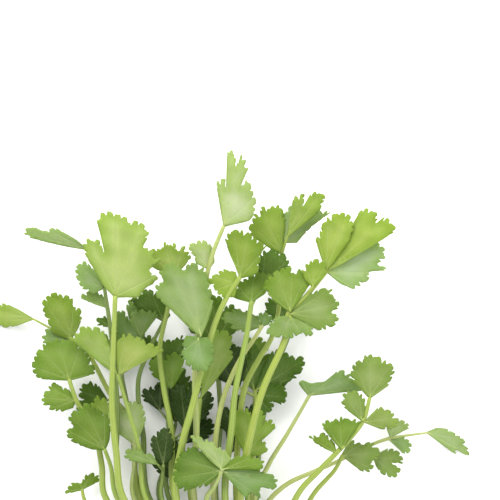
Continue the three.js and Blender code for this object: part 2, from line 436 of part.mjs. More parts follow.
        "tips": [[-14.5, 114, 4], [-10, 109, 4]]},
    ]},
  "under_middle": {"slot": [2, 0], "radius": 1.4, "tone": "mid",
    "path": [[-8, 78, 3.2], [-6, 110, 4.4], [-8, 140, 6]],
    "leaves": [
      {"base": [-8, 140, 6], "slope": [0, 0.05], "droop": 0, "joint": 1,
        "tips": [[-18, 155, 5], [-9, 159.5, 6], [0, 155, 5]]},
      {"base": [2, 130, 6], "slope": [0, 0], "droop": 0, "joint": 0.75,
        "tips": [[12, 141, 5], [15, 134, 4]]},
      {"base": [-2, 96, 4.6], "slope": [0, 0.05], "droop": 0, "joint": 0.1,
        "tips": [[2, 111, 4.2], [5.6, 105, 2.6]]},
    ]},
  "under_right": {"slot": [3, 0], "radius": 1.15, "tone": "mid",
    "path": [[8.6, 78, 3.2], [10.5, 105, 4.4], [16, 128, 6], [23, 146, 8]],
    "leaves": [
      {"base": [23, 146, 8], "slope": [0, 0.1], "droop": -2, "joint": 1,
        "tips": [[15, 159, 5], [23, 164, 6], [31, 159, 5]]},
      {"base": [16, 118, 5.2], "slope": [0.05, 0], "droop": 0, "joint": 0.6,
        "tips": [[22, 128, 4.2], [20, 120, 3]]},
    ]},
};

function seededRandom(seed) {
  let state = seed;
  return () => {
    state = (state * 1103515245 + 12345) % 2147483648;
    return state / 2147483648;
  };
}

// Catmull-Rom curve through the points, t from 0 to 1, with uneven spans kept free of kinks
function curvePoint(points, t) {
  const spans = points.length - 1;
  const at = Math.min(t * spans, spans - 1e-9);
  const i = Math.floor(at);
  const f = at - i;
  const p1 = points[i];
  const p2 = points[i + 1];
  const p0 = i > 0 ? points[i - 1] : p1.map((v, k) => 2 * v - p2[k]);
  const p3 = i + 2 < points.length ? points[i + 2] : p2.map((v, k) => 2 * v - p1[k]);
  const easedLength = (p, q) => Math.hypot(...p.map((v, k) => q[k] - v)) ** SPAN_EASE;
  const before = easedLength(p0, p1);
  const here = easedLength(p1, p2);
  const after = easedLength(p2, p3);
  return p1.map((v, k) => {
    const step = p2[k] - v;
    const leave = step + here * ((v - p0[k]) / before - (p2[k] - p0[k]) / (before + here));
    const arrive = step + here * ((p3[k] - p2[k]) / after - (p3[k] - v) / (here + after));
    const square = 3 * step - 2 * leave - arrive;
    const cube = leave + arrive - 2 * step;
    return v + f * (leave + f * (square + f * cube));
  });
}

// A closed solid from corner points and triangles
function solid(points, triangles) {
  return new Manifold(
    new SolidMesh({
      numProp: 3,
      vertProperties: new Float32Array(points.flat()),
      triVerts: new Uint32Array(triangles.flat()),
    })
  );
}

// A tapered tube along the centres, closed at both ends
function tube(centres, radii, sides) {
  const points = [];
  const triangles = [];
  const up = new THREE.Vector3(0, 0, 1);
  centres.forEach((centre, i) => {
    const before = new THREE.Vector3(...centres[Math.max(i - 1, 0)]);
    const after = new THREE.Vector3(...centres[Math.min(i + 1, centres.length - 1)]);
    const along = after.sub(before).normalize();
    const side = new THREE.Vector3().crossVectors(along, up).normalize();
    const top = new THREE.Vector3().crossVectors(side, along);
    for (let k = 0; k < sides; k += 1) {
      const angle = (2 * Math.PI * (k + 0.5)) / sides - Math.PI / 2;
      const c = Math.cos(angle) * radii[i];
      const s = Math.sin(angle) * radii[i];
      points.push(centre.map((v, n) => v + c * side.getComponent(n) + s * top.getComponent(n)));
    }
  });
  for (let i = 0; i + 1 < centres.length; i += 1) {
    for (let k = 0; k < sides; k += 1) {
      const a = i * sides + k;
      const b = i * sides + ((k + 1) % sides);
      triangles.push([a, b + sides, b], [a, a + sides, b + sides]);
    }
  }
  const last = (centres.length - 1) * sides;
  for (let k = 1; k + 1 < sides; k += 1) {
    triangles.push([0, k, k + 1], [last, last + k + 1, last + k]);
  }
  return solid(points, triangles);
}

// The lobes of a leaf as angle about its aim, reach and half angle, from right to left
function lobesOf(leaf) {
  const [bx, by] = leaf.base;
  const aimX = leaf.tips.reduce((sum, tip) => sum + tip[0] - bx, 0);
  const aimY = leaf.tips.reduce((sum, tip) => sum + tip[1] - by, 0);
  const aim = Math.atan2(aimY, aimX);
  const lobes = leaf.tips.map(([x, y, half]) => {
    const reach = Math.hypot(x - bx, y - by);
    const turn = Math.atan2(y - by, x - bx) - aim;
    const angle = Math.atan2(Math.sin(turn), Math.cos(turn));
    return { angle, reach, half: Math.asin(Math.min(WIDEST_HALF, (LOBE_WIDENING * half) / reach)) };
  });
  return { aim, lobes: lobes.sort((a, b) => a.angle - b.angle) };
}

// Outline of a leaf as [x, y] about its base, with rounded toothed lobes parted by notches
function outlineOf(leaf) {
  if (leaf.edge) {
    return leaf.edge.map(([right, down]) => [
      (right - EDGE_ORIGIN[0]) * EDGE_UNIT - leaf.base[0],
      (EDGE_ORIGIN[1] - down) * EDGE_UNIT - leaf.base[1],
    ]);
  }
  const { aim, lobes } = lobesOf(leaf);
  const outline = [];
  const add = (angle, reach) => outline.push([Math.cos(aim + angle) * reach, Math.sin(aim + angle) * reach]);
  const borders = lobes.slice(1).map((lobe, i) => {
    const before = lobes[i];
    return before.angle + ((lobe.angle - before.angle) * before.half) / (before.half + lobe.half);
  });
  lobes.forEach((lobe, i) => {
    const right = i > 0 ? Math.min(lobe.half, (lobe.angle - borders[i - 1]) * LOBE_FILL) : lobe.half;
    const left = i < borders.length ? Math.min(lobe.half, (borders[i] - lobe.angle) * LOBE_FILL) : lobe.half;
    const flank = lobe.half + Math.min(FLANK_TURN, FLANK_SHARE * lobe.half);
    if (i === 0) {
      add(lobe.angle - flank, lobe.reach * FLANK_REACH);
    }
    const edge = lobe.reach * Math.sin(lobe.half) > WIDE_LOBE ? WIDE_EDGE : NARROW_EDGE;
    edge.forEach(([across, out]) => add(lobe.angle + across * (across < 0 ? right : left), lobe.reach * out));
    if (i < borders.length) {
      add(borders[i], SINUS_DEPTH * Math.min(lobe.reach, lobes[i + 1].reach));
    } else {
      add(lobe.angle + flank, lobe.reach * FLANK_REACH);
    }
  });
  return outline;
}

// Height of a leaf's middle surface above its base, at x, y from the base
function heightAt(leaf, x, y, size) {
  const share = Math.hypot(x, y) / size;
  const angle = Math.atan2(y, x);
  const wave = WAVE_HEIGHT * size * share * share * Math.sin(5 * angle + leaf.base[0]);
  const cup = CUP * size * share * (1 - share);
  return leaf.slope[0] * x + leaf.slope[1] * y + leaf.droop * share * share + wave - cup;
}

// One leaf blade with the same triangles on both faces
function blade(leaf) {
  const outline = outlineOf(leaf);
  const { aim } = lobesOf(leaf);
  const size = Math.max(...outline.map(([x, y]) => Math.hypot(x, y)));
  const root = [-Math.cos(aim) * BLADE_INTO_STALK, -Math.sin(aim) * BLADE_INTO_STALK];
  const ringStep = size < SMALL_LEAF ? outline.length : 3;
  const ringIndex = outline.map((_, i) => i).filter((i) => i % ringStep === 0);
  if (ringIndex[ringIndex.length - 1] !== outline.length - 1) {
    ringIndex.push(outline.length - 1);
  }
  const flat = [root, ...ringIndex.map((i) => outline[i].map((v) => v * RING_AT)), ...outline];
  const first = 1 + ringIndex.length;
  const face = [];
  ringIndex.slice(1).forEach((end, r) => {
    const start = ringIndex[r];
    face.push([0, 1 + r, 2 + r]);
    for (let i = start; i < end; i += 1) {
      face.push([1 + r, first + i, first + i + 1]);
    }
    face.push([1 + r, first + end, 2 + r]);
  });
  const rim = [0, 1, ...outline.map((_, i) => first + i), ringIndex.length];
  return thicken(leaf, flat, face, rim, size);
}

// Two faces and a rim from a flat layout of a leaf
function thicken(leaf, flat, face, rim, size) {
  const normal = new THREE.Vector3(-leaf.slope[0], -leaf.slope[1], 1).normalize();
  const [bx, by, bz] = leaf.base;
  const middle = flat.map(([x, y]) => [bx + x, by + y, bz + heightAt(leaf, x, y, size)]);
  const half = 0.5 * BLADE_THICKNESS;
  const shifted = (side) => middle.map((p) => p.map((v, n) => v + side * half * normal.getComponent(n)));
  const count = flat.length;
  const triangles = [...face, ...face.map(([a, b, c]) => [a + count, c + count, b + count])];
  rim.forEach((a, i) => {
    const b = rim[(i + 1) % rim.length];
    triangles.push([a, a + count, b + count], [a, b + count, b]);
  });
  return solid([...shifted(1), ...shifted(-1)], triangles);
}

// Points of the stalk inside the bundle, then its path
function stalkPoints(stem, random) {
  const [column, row] = stem.slot;
  const x = (column - (ROW_COUNTS[row] - 1) / 2) * BUNDLE_COLUMN_PITCH;
  const z = BUNDLE_FLOOR + row * BUNDLE_ROW_PITCH;
  const cut = CUT_END_JITTER * random();
  const [firstX, , firstZ] = stem.path[0];
  const fan = [x + (firstX - x) * FAN_OUT_SHARE, FAN_OUT_AT, z + (firstZ - z) * FAN_OUT_SHARE];
  return [[x, cut, z], [x, BUNDLE_LENGTH, z], fan, ...stem.path];
}

function stalk(points, radius) {
  const centres = [];
  const radii = [];
  const steps = Math.round(points[points.length - 1][1] / STALK_STEP_LENGTH);
  for (let i = 0; i <= steps; i += 1) {
    const t = i / steps;
    centres.push(curvePoint(points, t));
    radii.push(radius * (1 - STALK_TAPER * t * t));
  }
  return tube(centres, radii, STALK_SIDES);
}

// Side stalk from the main stalk to a leaf, running on a little along the blade
function subStalk(stem, points, leaf) {
  const below = points.length - stem.path.length;
  const pathShare = (below + leaf.joint * (stem.path.length - 1)) / (points.length - 1);
  const start = curvePoint(points, Math.min(1, pathShare));
  const { aim } = lobesOf(leaf);
  const end = [Math.cos(aim) * STALK_INTO_BLADE, Math.sin(aim) * STALK_INTO_BLADE];
  const size = Math.max(...leaf.tips.map(([x, y]) => Math.hypot(x - leaf.base[0], y - leaf.base[1])));
  const beyond = [leaf.base[0] + end[0], leaf.base[1] + end[1], leaf.base[2] + heightAt(leaf, ...end, size)];
  const centres = [start];
  const radii = [SUB_STALK_RADIUS];
  for (let i = 1; i <= SUB_STALK_STEPS - 1; i += 1) {
    const f = i / (SUB_STALK_STEPS - 1);
    centres.push(start.map((v, k) => v + (leaf.base[k] - v) * f));
    radii.push(SUB_STALK_RADIUS);
  }
  centres.push(beyond);
  radii.push(STALK_TIP_RADIUS);
  const far = Math.hypot(...start.map((v, k) => v - leaf.base[k]));
  if (far < 1.5) {
    centres.splice(1, SUB_STALK_STEPS - 2);
    radii.splice(1, SUB_STALK_STEPS - 2);
  }
  if (far < 0.2) {
    centres.splice(1, 1);
    radii.splice(1, 1);
  }
  return tube(centres, radii, SUB_STALK_SIDES);
}

function leafyStem(stem, random) {
  const points = stalkPoints(stem, random);
  let body = stalk(points, stem.radius);
  stem.leaves.forEach((leaf) => {
    body = body.add(subStalk(stem, points, leaf)).add(blade(leaf));
  });
  return body;
}

function meshOf(name, body, tone) {
  const { vertProperties, triVerts } = body.getMesh();
  const geometry = new THREE.BufferGeometry();
  const positions = Float32Array.from(vertProperties, (v, i) => v + BOX_CENTRE_SHIFT[i % 3]);
  geometry.setAttribute("position", new THREE.BufferAttribute(positions, 3));
  geometry.setIndex(new THREE.BufferAttribute(new Uint32Array(triVerts), 1));
  geometry.computeVertexNormals();
  const look = { color: COLOURS[tone], roughness: 0.55, metalness: 0, flatShading: true };
  const material = new THREE.MeshStandardMaterial(look);
  const mesh = new THREE.Mesh(geometry, material);
  mesh.name = name;
  return mesh;
}

const random = seededRandom(41);
const bunch = new THREE.Group();
bunch.name = "coriander_bunch";
Object.entries(STEMS).forEach(([name, stem]) => {
  bunch.add(meshOf(name, leafyStem(stem, random), stem.tone));
});

export default bunch;
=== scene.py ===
"""Bunch of cut coriander lying on its side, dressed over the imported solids.

Lengths in the tables are in mm in the bunch's own layout, as in the solids. Blender's are in metres.
"""

import math
from collections import namedtuple

import bpy
import numpy as np
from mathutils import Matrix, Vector
from mathutils.geometry import delaunay_2d_cdt


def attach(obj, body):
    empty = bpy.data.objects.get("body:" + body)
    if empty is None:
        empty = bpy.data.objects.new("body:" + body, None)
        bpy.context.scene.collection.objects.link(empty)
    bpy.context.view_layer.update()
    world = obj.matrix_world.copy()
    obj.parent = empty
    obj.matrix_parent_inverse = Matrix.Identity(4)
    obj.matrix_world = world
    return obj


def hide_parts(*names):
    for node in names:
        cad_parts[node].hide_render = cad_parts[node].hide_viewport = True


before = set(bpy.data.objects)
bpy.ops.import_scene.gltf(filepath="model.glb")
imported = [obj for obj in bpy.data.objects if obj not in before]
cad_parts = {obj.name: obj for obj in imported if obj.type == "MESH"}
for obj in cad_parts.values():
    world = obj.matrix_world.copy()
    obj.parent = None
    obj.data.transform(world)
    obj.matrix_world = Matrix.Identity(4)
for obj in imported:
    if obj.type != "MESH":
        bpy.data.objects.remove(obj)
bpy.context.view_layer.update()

# Layout shared with the solids
MM = 0.001
BOX_CENTRE_SHIFT = (2.8, -108.86, 0.0)
BUNDLE_COLUMN_PITCH = 3.7
BUNDLE_ROW_PITCH = 3.5
BUNDLE_FLOOR = 1.17
BUNDLE_LENGTH = 22
FAN_OUT_AT = 54
FAN_OUT_SHARE = 0.42
SPAN_EASE = 0.5
CUT_END_JITTER = 3
ROW_COUNTS = (4, 6, 8, 6, 6)

# Draws, by the same rule as the solids'
DRAW_FACTOR = 1103515245.0
DRAW_STEP = 12345.0
DRAW_RANGE = 2147483648.0
CUT_SEED = 41
TONE_SEED = 7

# Leaf shape shared with the solids. An edge's points count steps of EDGE_UNIT mm to the right and
# down, and EDGE_ORIGIN is the count at x 0, y 0.
EDGE_UNIT = 0.4
EDGE_ORIGIN = (235, 695)
LOBE_WIDENING = 1.22
WIDEST_HALF = 0.9
FLANK_TURN = 0.22
FLANK_SHARE = 0.8
FLANK_REACH = 0.56
WAVE_HEIGHT = 0.035
WAVES_ROUND = 5
CUP = 0.1

# Finer edge of the visible leaves
LOBE_FILL = 0.9
SHOULDER = 0.86
SINUS_REACH = 0.76
CAP_ROUNDNESS = 2.4
CAP_SAMPLES = 12
CURVE_SAMPLES = 6
CURVE_PULL = 0.38
TOOTH_PITCH = 2.3
TOOTH_PITCH_GROWTH = 0.035
TOOTH_DEPTH = 0.5
TOOTH_ROUNDNESS = 3.0
TOOTH_REST = 0.4
FEWEST_TEETH = 3
SAMPLES_PER_TOOTH = 10
DEEP_NOTCH = 0.45
DEEP_NOTCH_EVERY = 3
# Unevenness of the teeth's spacing, as (share of a tooth, radians per mm)
TOOTH_WANDER = ((0.16, 0.9), (0.1, 2.3))
# Ranges of reach and of facing outward over which teeth fade in, and of hollows where they fade out
TOOTHED_FROM = (0.3, 0.6)
TOOTHED_FACING = (-0.02, 0.45)
TOOTHLESS_HOLLOW = (0.06, 0.4)

# Net of triangles in a blade. Clearances are shares of its step.
GRID_STEP = 0.6
GRID_STEP_GROWTH = 0.018
GRID_ROW_SHARE = 0.87
MARGIN_CLEARANCE = 0.45
VEIN_CLEARANCE = 0.55
VEIN_END_CLEARANCE = 0.1
NEARLY_ZERO = 1e-9
SHORTEST_SQUARE = 1e-12
JOIN_DISTANCE = 1e-4

# Finer relief of the visible leaves
BLADE_THICKNESS = 0.34
BLADE_THINNING = 0.45
BLADE_ROOT = 0.6
FLOOR_REST = 0.02
MARGIN_WIDTH = 2.2
VEIN_REACH = 0.93
LOBE_FOLD = 0.06
VEIN_GROOVE = 0.16
VEIN_GROOVE_WIDTH = 0.8
VEIN_GROOVE_FADE = 0.6
SWELL_HEIGHT = 0.6
SWELL_LENGTHS = ((13.0, 4.0), (-6.0, 11.0), (7.5, -9.0))
MARGIN_CURL = 0.5
CURL_LENGTH = 11.0
CURL_SLANT = 0.6
CURL_DROP = 0.5
CURLED_FROM = (0.3, 0.8)

# Finer detail of the visible stalks
STALK_SIDES = 16
STALK_RING_STEP = 2.2
FEWEST_STALK_RINGS = 24
STALK_RIB = 0.035
STALK_FULLNESS = 1.12
STALK_TAPER = 0.45
STALK_NODE_SWELL = 0.16
STALK_NODE_LENGTH = 3.0
START_CAP = 0.25
END_CAP = 0.5
SIDE_STALK_SIDES = 10
SIDE_STALK_RADIUS = 0.6
SIDE_STALK_END_RADIUS = 0.42
SIDE_STALK_RINGS = 12
SIDE_STALK_BOW = 0.06
SHORTEST_SIDE_STALK = 0.3
MIDRIB_RINGS = 6
MIDRIB_LENGTH = 0.2
MIDRIB_END_RADIUS = 0.14
MIDRIB_SINK = 0.12

# Camera, in metres, with its centre and sensor in mm
VIEW_WIDTH = 0.200
VIEW_HEIGHT_ABOVE = 2.0
VIEW_PLANE = 0.032
VIEW_CENTRE_MM = (6.0, 178.0)
VIEW_END = 10.0
SENSOR_MM = 36.0

# Light and table, in metres and watts. Each light has its name, place, size, power and colour.
LIGHT_GAIN = 1.9
SKY_STRENGTH = 0.6
LIT_POINT = (0.0, 0.03, 0.03)
LIGHTS = (
    ("key", (-0.35, 0.9, 0.95), 0.9, 10.5, (1.0, 0.99, 0.96)),
    ("fill", (0.7, -0.1, 0.9), 1.2, 3.6, (0.97, 0.99, 1.0)),
)
TABLE_SIZE = 6.0
TABLE_COLOURS = ((0.93, 0.93, 0.935, 1), (0.95, 0.95, 0.95, 1))

# Leaf and stalk tones, sRGB 0 to 255, as they look in the bright studio light. Some are painted light:
# pale paints light shining through leaves, mint and grey paint sheen, and deep, dark and stalk_dark
# paint shade inside the bunch
TONES = {
    "lime": (178, 196, 104),
    "soft": (174, 195, 96),
    "light": (162, 186, 78),
    "mid": (136, 164, 62),
    "sage": (150, 170, 92),
    "leafy": (114, 144, 48),
    "grey": (147, 174, 105),
    "mint": (172, 195, 130),
    "pale": (182, 201, 139),
    "deep": (92, 124, 38),
    "dark": (46, 72, 14),
    "stalk": (170, 194, 66),
    "stalk_pale": (198, 213, 120),
    "stalk_dark": (120, 150, 46),
}
BRIGHTNESS_SPREAD = 0.05
RED_SPREAD = 0.06

# Factors on a leaf's or stalk's own tone
RICH_TINT = (0.74, 0.86, 0.5)
# Tint of the painted sheen
SHEEN_TINT = (1.12, 1.08, 1.3)
# Paints light shining through the middle of a blade
GLOW_TINT = (1.36, 1.24, 1.8)
STREAK_TINT = (0.7, 0.82, 0.6)

# Colours mixed into the tones, linear, as they look in the bright studio light
# Colour of the painted sheen
SHEEN_COLOUR = (0.55, 0.68, 0.40)
VEIN_COLOUR = (0.75, 0.84, 0.38)
UNDERSIDE_COLOUR = (0.50, 0.60, 0.35)
GRAIN_COLOUR = (0.14, 0.22, 0.05)
FOOT_COLOUR = (0.81, 0.86, 0.56)
RIB_COLOUR = (0.82, 0.90, 0.46)
CUT_COLOUR = (0.84, 0.86, 0.62)

# Where they show, in mm: in from a blade's edge, across from its main veins, along them and up a stalk
MARGIN_BAND = (0.1, 3.4)
# Band of painted light shining through a blade's middle
GLOW_BAND = (1.6, 6.5)
# Band of painted shade in the pleats between the main veins
PLEAT_SHADE_BAND = (0.5, 3.2)
MAIN_VEIN_WIDTHS = (0.5, 0.12)
SIDE_VEIN_SLANT = 1.15
SIDE_VEIN_PITCH = 1.05
SIDE_VEIN_WIDTHS = (0.04, 0.2)
PALE_FOOT_LENGTH = 90.0

# Every leafy stem has its slot (column and row) in the bundle, its stalk's radius and tone, its path
# (the stalk above the bundle) and its leaves. Each leaf has its tone, its base, its slope along x and
# y, its droop at the tip, its joint (the share of the path at which it leaves the stalk, 1 at the
# end) and the tips of its lobes (x, y, half width). Where a leaf's cut edge is more than its lobes
# side by side, it has its edge too, up its right side and down its left.
Stem = namedtuple("Stem", "slot radius tone path leaves")
Leaf = namedtuple("Leaf", "tone base slope droop joint tips edge", defaults=[()])
STEMS = {
  "left_tall": Stem([0, 4], 1.45, "stalk",
    [[-44.8, 78, 24], [-47.6, 97, 29], [-49.2, 116.5, 34], [-48.6, 135, 39], [-47.6, 159.6, 44]],
    [
      Leaf("lime", [-47.6, 159.6, 44], [0.05, 0.2], -5, 1, [[-57, 181.5, 6], [-47.5, 192.5, 9],
        [-36, 186.5, 6], [-31, 168, 6]], [[128, 297], [139, 297], [146, 288], [158, 280], [150, 270],
        [160, 261], [149, 250], [144, 247], [149, 236], [144, 226], [127, 219], [109, 213], [98, 219],
        [102, 238], [105, 252], [100, 242], [89, 240], [85, 250], [95, 270], [107, 289]]),
    ]),
  "centre_thick": Stem([1, 4], 1.45, "stalk",
    [[-23.6, 78, 24], [-21.2, 100, 29.5], [-17.2, 114.8, 33], [-13.2, 130.4, 37],
      [-7.6, 149.6, 40.5], [-2.8, 160, 42], [2, 167.2, 43.5]],
    [
      Leaf("mid", [2, 167.2, 43.5], [0, 0.1], 0, 1, [[-3.5, 180.5, 3.5], [-0.5, 186, 4.2],
        [5.5, 185.5, 4.6], [11.5, 177.5, 4.6]], [[252, 276], [258, 272], [259, 262], [261, 253], [266, 246],
        [260, 243], [252, 238], [247, 233], [239, 231], [231, 232], [226, 240], [229, 252], [235, 266]]),
      Leaf("light", [0.8, 165, 43], [-0.1, 0], -1, 0.95, [[-10.5, 168, 4.5], [-10, 161.5, 4.5]],
        [[236, 272], [224, 270], [216, 275], [207, 280], [214, 286], [218, 292], [226, 297], [235, 296]]),
    ]),
  "centre_tall": Stem([2, 4], 1.3, "stalk_pale",
    [[-16.5, 78, 20], [-15.5, 105, 26], [-16, 125, 30], [-15, 142, 34], [-12.4, 162, 39],
      [-9, 176, 43], [-4.4, 187.6, 46]],
    [
      Leaf("pale", [-4.4, 187.6, 46], [0.08, 0.2], -4, 1, [[-5.5, 205, 3.2], [-1.5, 217.5, 5],
        [4.3, 213.5, 4.6], [7.5, 199, 5.5]], [[233, 225], [249, 221], [254, 213], [255, 202], [250, 188],
        [248, 180], [241, 187], [247, 172], [246, 164], [241, 157], [236, 167], [235, 156], [229, 151],
        [227, 158], [226, 188], [225, 181], [219, 182], [217, 188], [219, 201], [221, 213]]),
      Leaf("grey", [-13.5, 144, 44.5], [-0.05, 0.12], 1, 0.5, [[-30, 162.5, 5], [-25, 172, 6],
        [-18, 171, 6], [-8.5, 160, 6]], [[208, 322], [213, 304], [209, 286], [204, 269], [191, 264],
        [184, 270], [172, 263], [161, 272], [164, 281], [157, 287], [160, 299], [171, 309], [183, 321],
        [191, 329]]),
      Leaf("grey", [-14.5, 143, 43.5], [0, 0.05], 1, 0.48, [[-20.5, 137.5, 4], [-17.5, 132, 4.5],
        [-12.5, 131, 4]], [[186, 335], [183, 346], [184, 358], [190, 366], [198, 370], [207, 369],
        [213, 358], [213, 345], [208, 337]]),
      Leaf("pale", [-10.5, 170.5, 42], [-0.1, 0.1], 0, 0.78, [[-17.2, 180, 4], [-12.5, 182, 4]],
        [[215, 262], [213, 251], [208, 243], [201, 241], [195, 244], [189, 246], [192, 253], [195, 257],
        [197, 264]]),
    ]),
  "front_low": Stem([3, 4], 1.2, "stalk_pale",
    [[-11.4, 78, 27.5], [-8.4, 83.2, 31], [-5.2, 90, 35]],
    [
      Leaf("leafy", [-5.2, 90, 35], [0.1, 0.05], 0, 1, [[-23.5, 95, 5], [-23, 87, 5], [-16, 82.5, 3.5]],
        [[217, 462], [205, 452], [196, 448], [186, 449], [180, 456], [176, 464], [174, 474], [177, 485],
        [185, 490], [196, 487], [208, 485], [216, 478]]),
      Leaf("mint", [-5.5, 90.5, 36], [0, 0.15], 0, 0.98, [[-16, 103, 4], [-10, 102.5, 4.5],
        [-4.4, 99.5, 4]], [[232, 460], [226, 451], [217, 446], [207, 440], [192, 436], [196, 444],
        [203, 452], [211, 461]]),
      Leaf("grey", [-4.8, 89.5, 35], [-0.02, 0], 0, 0.95, [[14.8, 88, 4], [16.4, 84.3, 4], [9.2, 80, 4.5]],
        [[233, 484], [244, 496], [252, 493], [259, 497], [261, 487], [272, 489], [277, 482], [272, 475],
        [262, 472], [250, 468], [238, 463]]),
      Leaf("mid", [-4.6, 90.5, 36.2], [0.05, 0.1], 0, 0.97, [[5.6, 95, 3], [11.6, 93, 3]], [[258, 469],
        [264, 465], [262, 460], [250, 456], [240, 455], [233, 458]]),
    ]),
  "centre_right": Stem([4, 4], 1.45, "stalk",
    [[-4, 78, 24.5], [-1.2, 108, 30], [0, 120.8, 33], [4.8, 144.8, 36], [6.6, 157.5, 38]],
    [
      Leaf("mid", [6.6, 157.5, 38], [0, -0.05], -1, 1, [[0.5, 164.5, 3.6], [7.5, 169, 4.6],
        [14.5, 165.5, 4.4]], [[262, 296], [270, 287], [271, 276], [258, 273], [247, 279], [238, 284],
        [231, 295], [240, 300]]),
      Leaf("deep", [11, 165, 35.5], [0, 0], -1, 0.94, [[12, 176.5, 4.6], [20.5, 173.5, 5]], [[278, 280],
        [289, 272], [288, 262], [283, 254], [272, 250], [262, 253], [259, 264], [258, 274]]),
    ]),
  "right_main": Stem([5, 4], 1.45, "stalk",
    [[2, 78, 24.5], [6.4, 104.8, 31], [11.2, 122.4, 36], [20, 142.8, 40], [21.6, 152.8, 42],
      [27.6, 158.8, 43], [36.4, 169.6, 45]],
    [
      Leaf("light", [36.4, 169.6, 45], [0.05, 0.25], -4, 1, [[33, 183, 4], [37, 191.5, 4.5],
        [44.5, 192.5, 5]], [[333, 262], [343, 248], [349, 238], [352, 226], [349, 217], [340, 214],
        [332, 216], [324, 222], [320, 233], [316, 241], [318, 250], [321, 259]]),
      Leaf("light", [36.8, 169.6, 44.5], [0.12, 0.12], -5, 0.99, [[51.5, 193, 5], [59.5, 190.5, 4.5],
        [63, 185, 4]], [[345, 262], [392, 233], [390, 225], [384, 218], [375, 223], [376, 215], [366, 210],
        [358, 214], [352, 224]]),
      Leaf("pale", [36.8, 169.2, 44], [-0.1, -0.05], -2, 0.98, [[59.5, 177.5, 5], [61, 169, 1.6],
        [54, 167, 4], [47, 163, 4]], [[340, 284], [352, 288], [360, 284], [368, 278], [369, 272],
        [386, 270], [377, 264], [383, 259], [384, 251], [378, 245], [371, 240], [352, 249]]),
      Leaf("mid", [22, 153.6, 44], [0, 0.1], 0, 0.7, [[11.6, 162.4, 4], [16.4, 169.6, 5],
        [22.8, 170.8, 4.5], [28.4, 168.8, 4]], [[299, 300], [308, 286], [308, 276], [301, 269], [295, 274],
        [290, 268], [281, 270], [272, 275], [264, 286], [268, 293], [276, 303]]),
      Leaf("light", [31, 163.5, 46], [0.1, 0.15], 0, 0.86, [[28, 171.6, 2.5], [31.6, 173.6, 3],
        [35.6, 171.6, 2.5]], [[320, 281], [325, 272], [324, 262], [315, 260], [307, 264], [302, 271],
        [305, 280]]),
      Leaf("sage", [22, 152.6, 43.5], [0.05, 0.05], 2, 0.68, [[37, 162, 4.5], [41, 157, 4.5],
        [40.8, 150.5, 4.5]], [[300, 320], [314, 328], [324, 328], [333, 324], [337, 317], [331, 312],
        [337, 307], [337, 301], [332, 296], [330, 289], [318, 290], [306, 297]]),
      Leaf("grey", [22, 151.4, 43.2], [0.05, 0.05], 1, 0.66, [[34.5, 146, 4.5], [28, 143, 5],
        [18, 143, 5.5]], [[277, 316], [270, 325], [268, 334], [280, 336], [290, 337], [300, 333],
        [309, 335], [314, 328], [304, 322]]),
    ]),
  "left_low": Stem([0, 3], 1.1, "stalk",
    [[-47.5, 78, 18.5], [-50, 91, 22], [-52.4, 98, 25]],
    [
      Leaf("leafy", [-52.4, 98, 25], [-0.1, 0.16], -2.5, 1, [[-67, 105.5, 4], [-66, 111.5, 4],
        [-60.5, 116, 5], [-52.5, 112.5, 5.5]], [[109, 441], [110, 428], [107, 417], [101, 413], [96, 410],
        [90, 406], [83, 405], [77, 411], [71, 414], [69, 421], [73, 427], [67, 433], [70, 440], [80, 446],
        [91, 450]]),
    ]),
  "left_pair": Stem([1, 3], 1.15, "stalk",
    [[-36, 78, 18.5], [-38.5, 98, 23], [-42.8, 113.6, 26.5], [-46.8, 127.5, 30]],
    [
      Leaf("lime", [-47.2, 128.2, 30], [0.03, 0.1], 0, 1, [[-63, 145, 4], [-56, 146.5, 5], [-51, 140, 4]],
        [[113, 358], [109, 345], [104, 334], [98, 329], [90, 328], [82, 328], [76, 334], [71, 339],
        [81, 348], [92, 357], [104, 367]]),
      Leaf("lime", [-46.6, 128, 30], [0, 0.08], 0, 0.98, [[-44, 144.5, 5.5], [-34, 141.5, 5],
        [-30, 137, 3.5]], [[131, 369], [146, 361], [162, 351], [151, 345], [141, 340], [130, 335],
        [122, 336], [117, 345]]),
    ]),
  "low_dark": Stem([2, 3], 1.0, "stalk_dark",
    [[-29.5, 78, 18], [-29.2, 86, 20], [-28.8, 91.6, 21.5]],
    [
      Leaf("dark", [-28.8, 91.6, 21.5], [0, 0.02], 0, 1, [[-32, 103.2, 3], [-27, 106.8, 3.5]], [[171, 460],
        [174, 450], [171, 438], [167, 428], [162, 431], [158, 433], [151, 441], [152, 452], [156, 462]]),
      Leaf("grey", [-31, 91.8, 24.2], [-0.22, 0.05], 0, 0.8, [[-44, 97, 2.6], [-40.5, 99.5, 2.6]],
        [[152, 455], [140, 452], [129, 450], [125, 456], [130, 461], [142, 464]]),
    ]),
  "centre_flat": Stem([3, 3], 1.15, "stalk_pale",
    [[-8.5, 78, 18.5], [-8, 100, 23.2], [-5.5, 115.6, 26], [-1.5, 127, 28.2], [3.2, 136, 30],
      [7.6, 142.4, 31.2], [10.8, 147.6, 32.5]],
    [
      Leaf("grey", [10.8, 147.6, 32.5], [0.05, 0], 0, 1, [[-5, 151, 3.5], [0, 147, 3.5]], [[256, 316],
        [246, 311], [236, 310], [226, 313], [222, 319], [228, 324], [236, 330], [248, 332]]),
      Leaf("grey", [11, 147.8, 32.5], [0, 0], 0, 0.98, [[12.5, 152.5, 3]]),
    ]),
  "low_bright": Stem([4, 3], 1.1, "stalk",
    [[5, 78, 18.5], [4.6, 88, 21], [4.4, 96, 22.5]],
    [
      Leaf("light", [4.4, 96, 22.5], [0, 0.1], 0, 1, [[4, 114, 5], [9.5, 113.5, 4.5], [15, 109, 3.5],
        [12.6, 99.8, 2.6]]),
    ]),
  "right_round": Stem([5, 3], 1.2, "stalk",
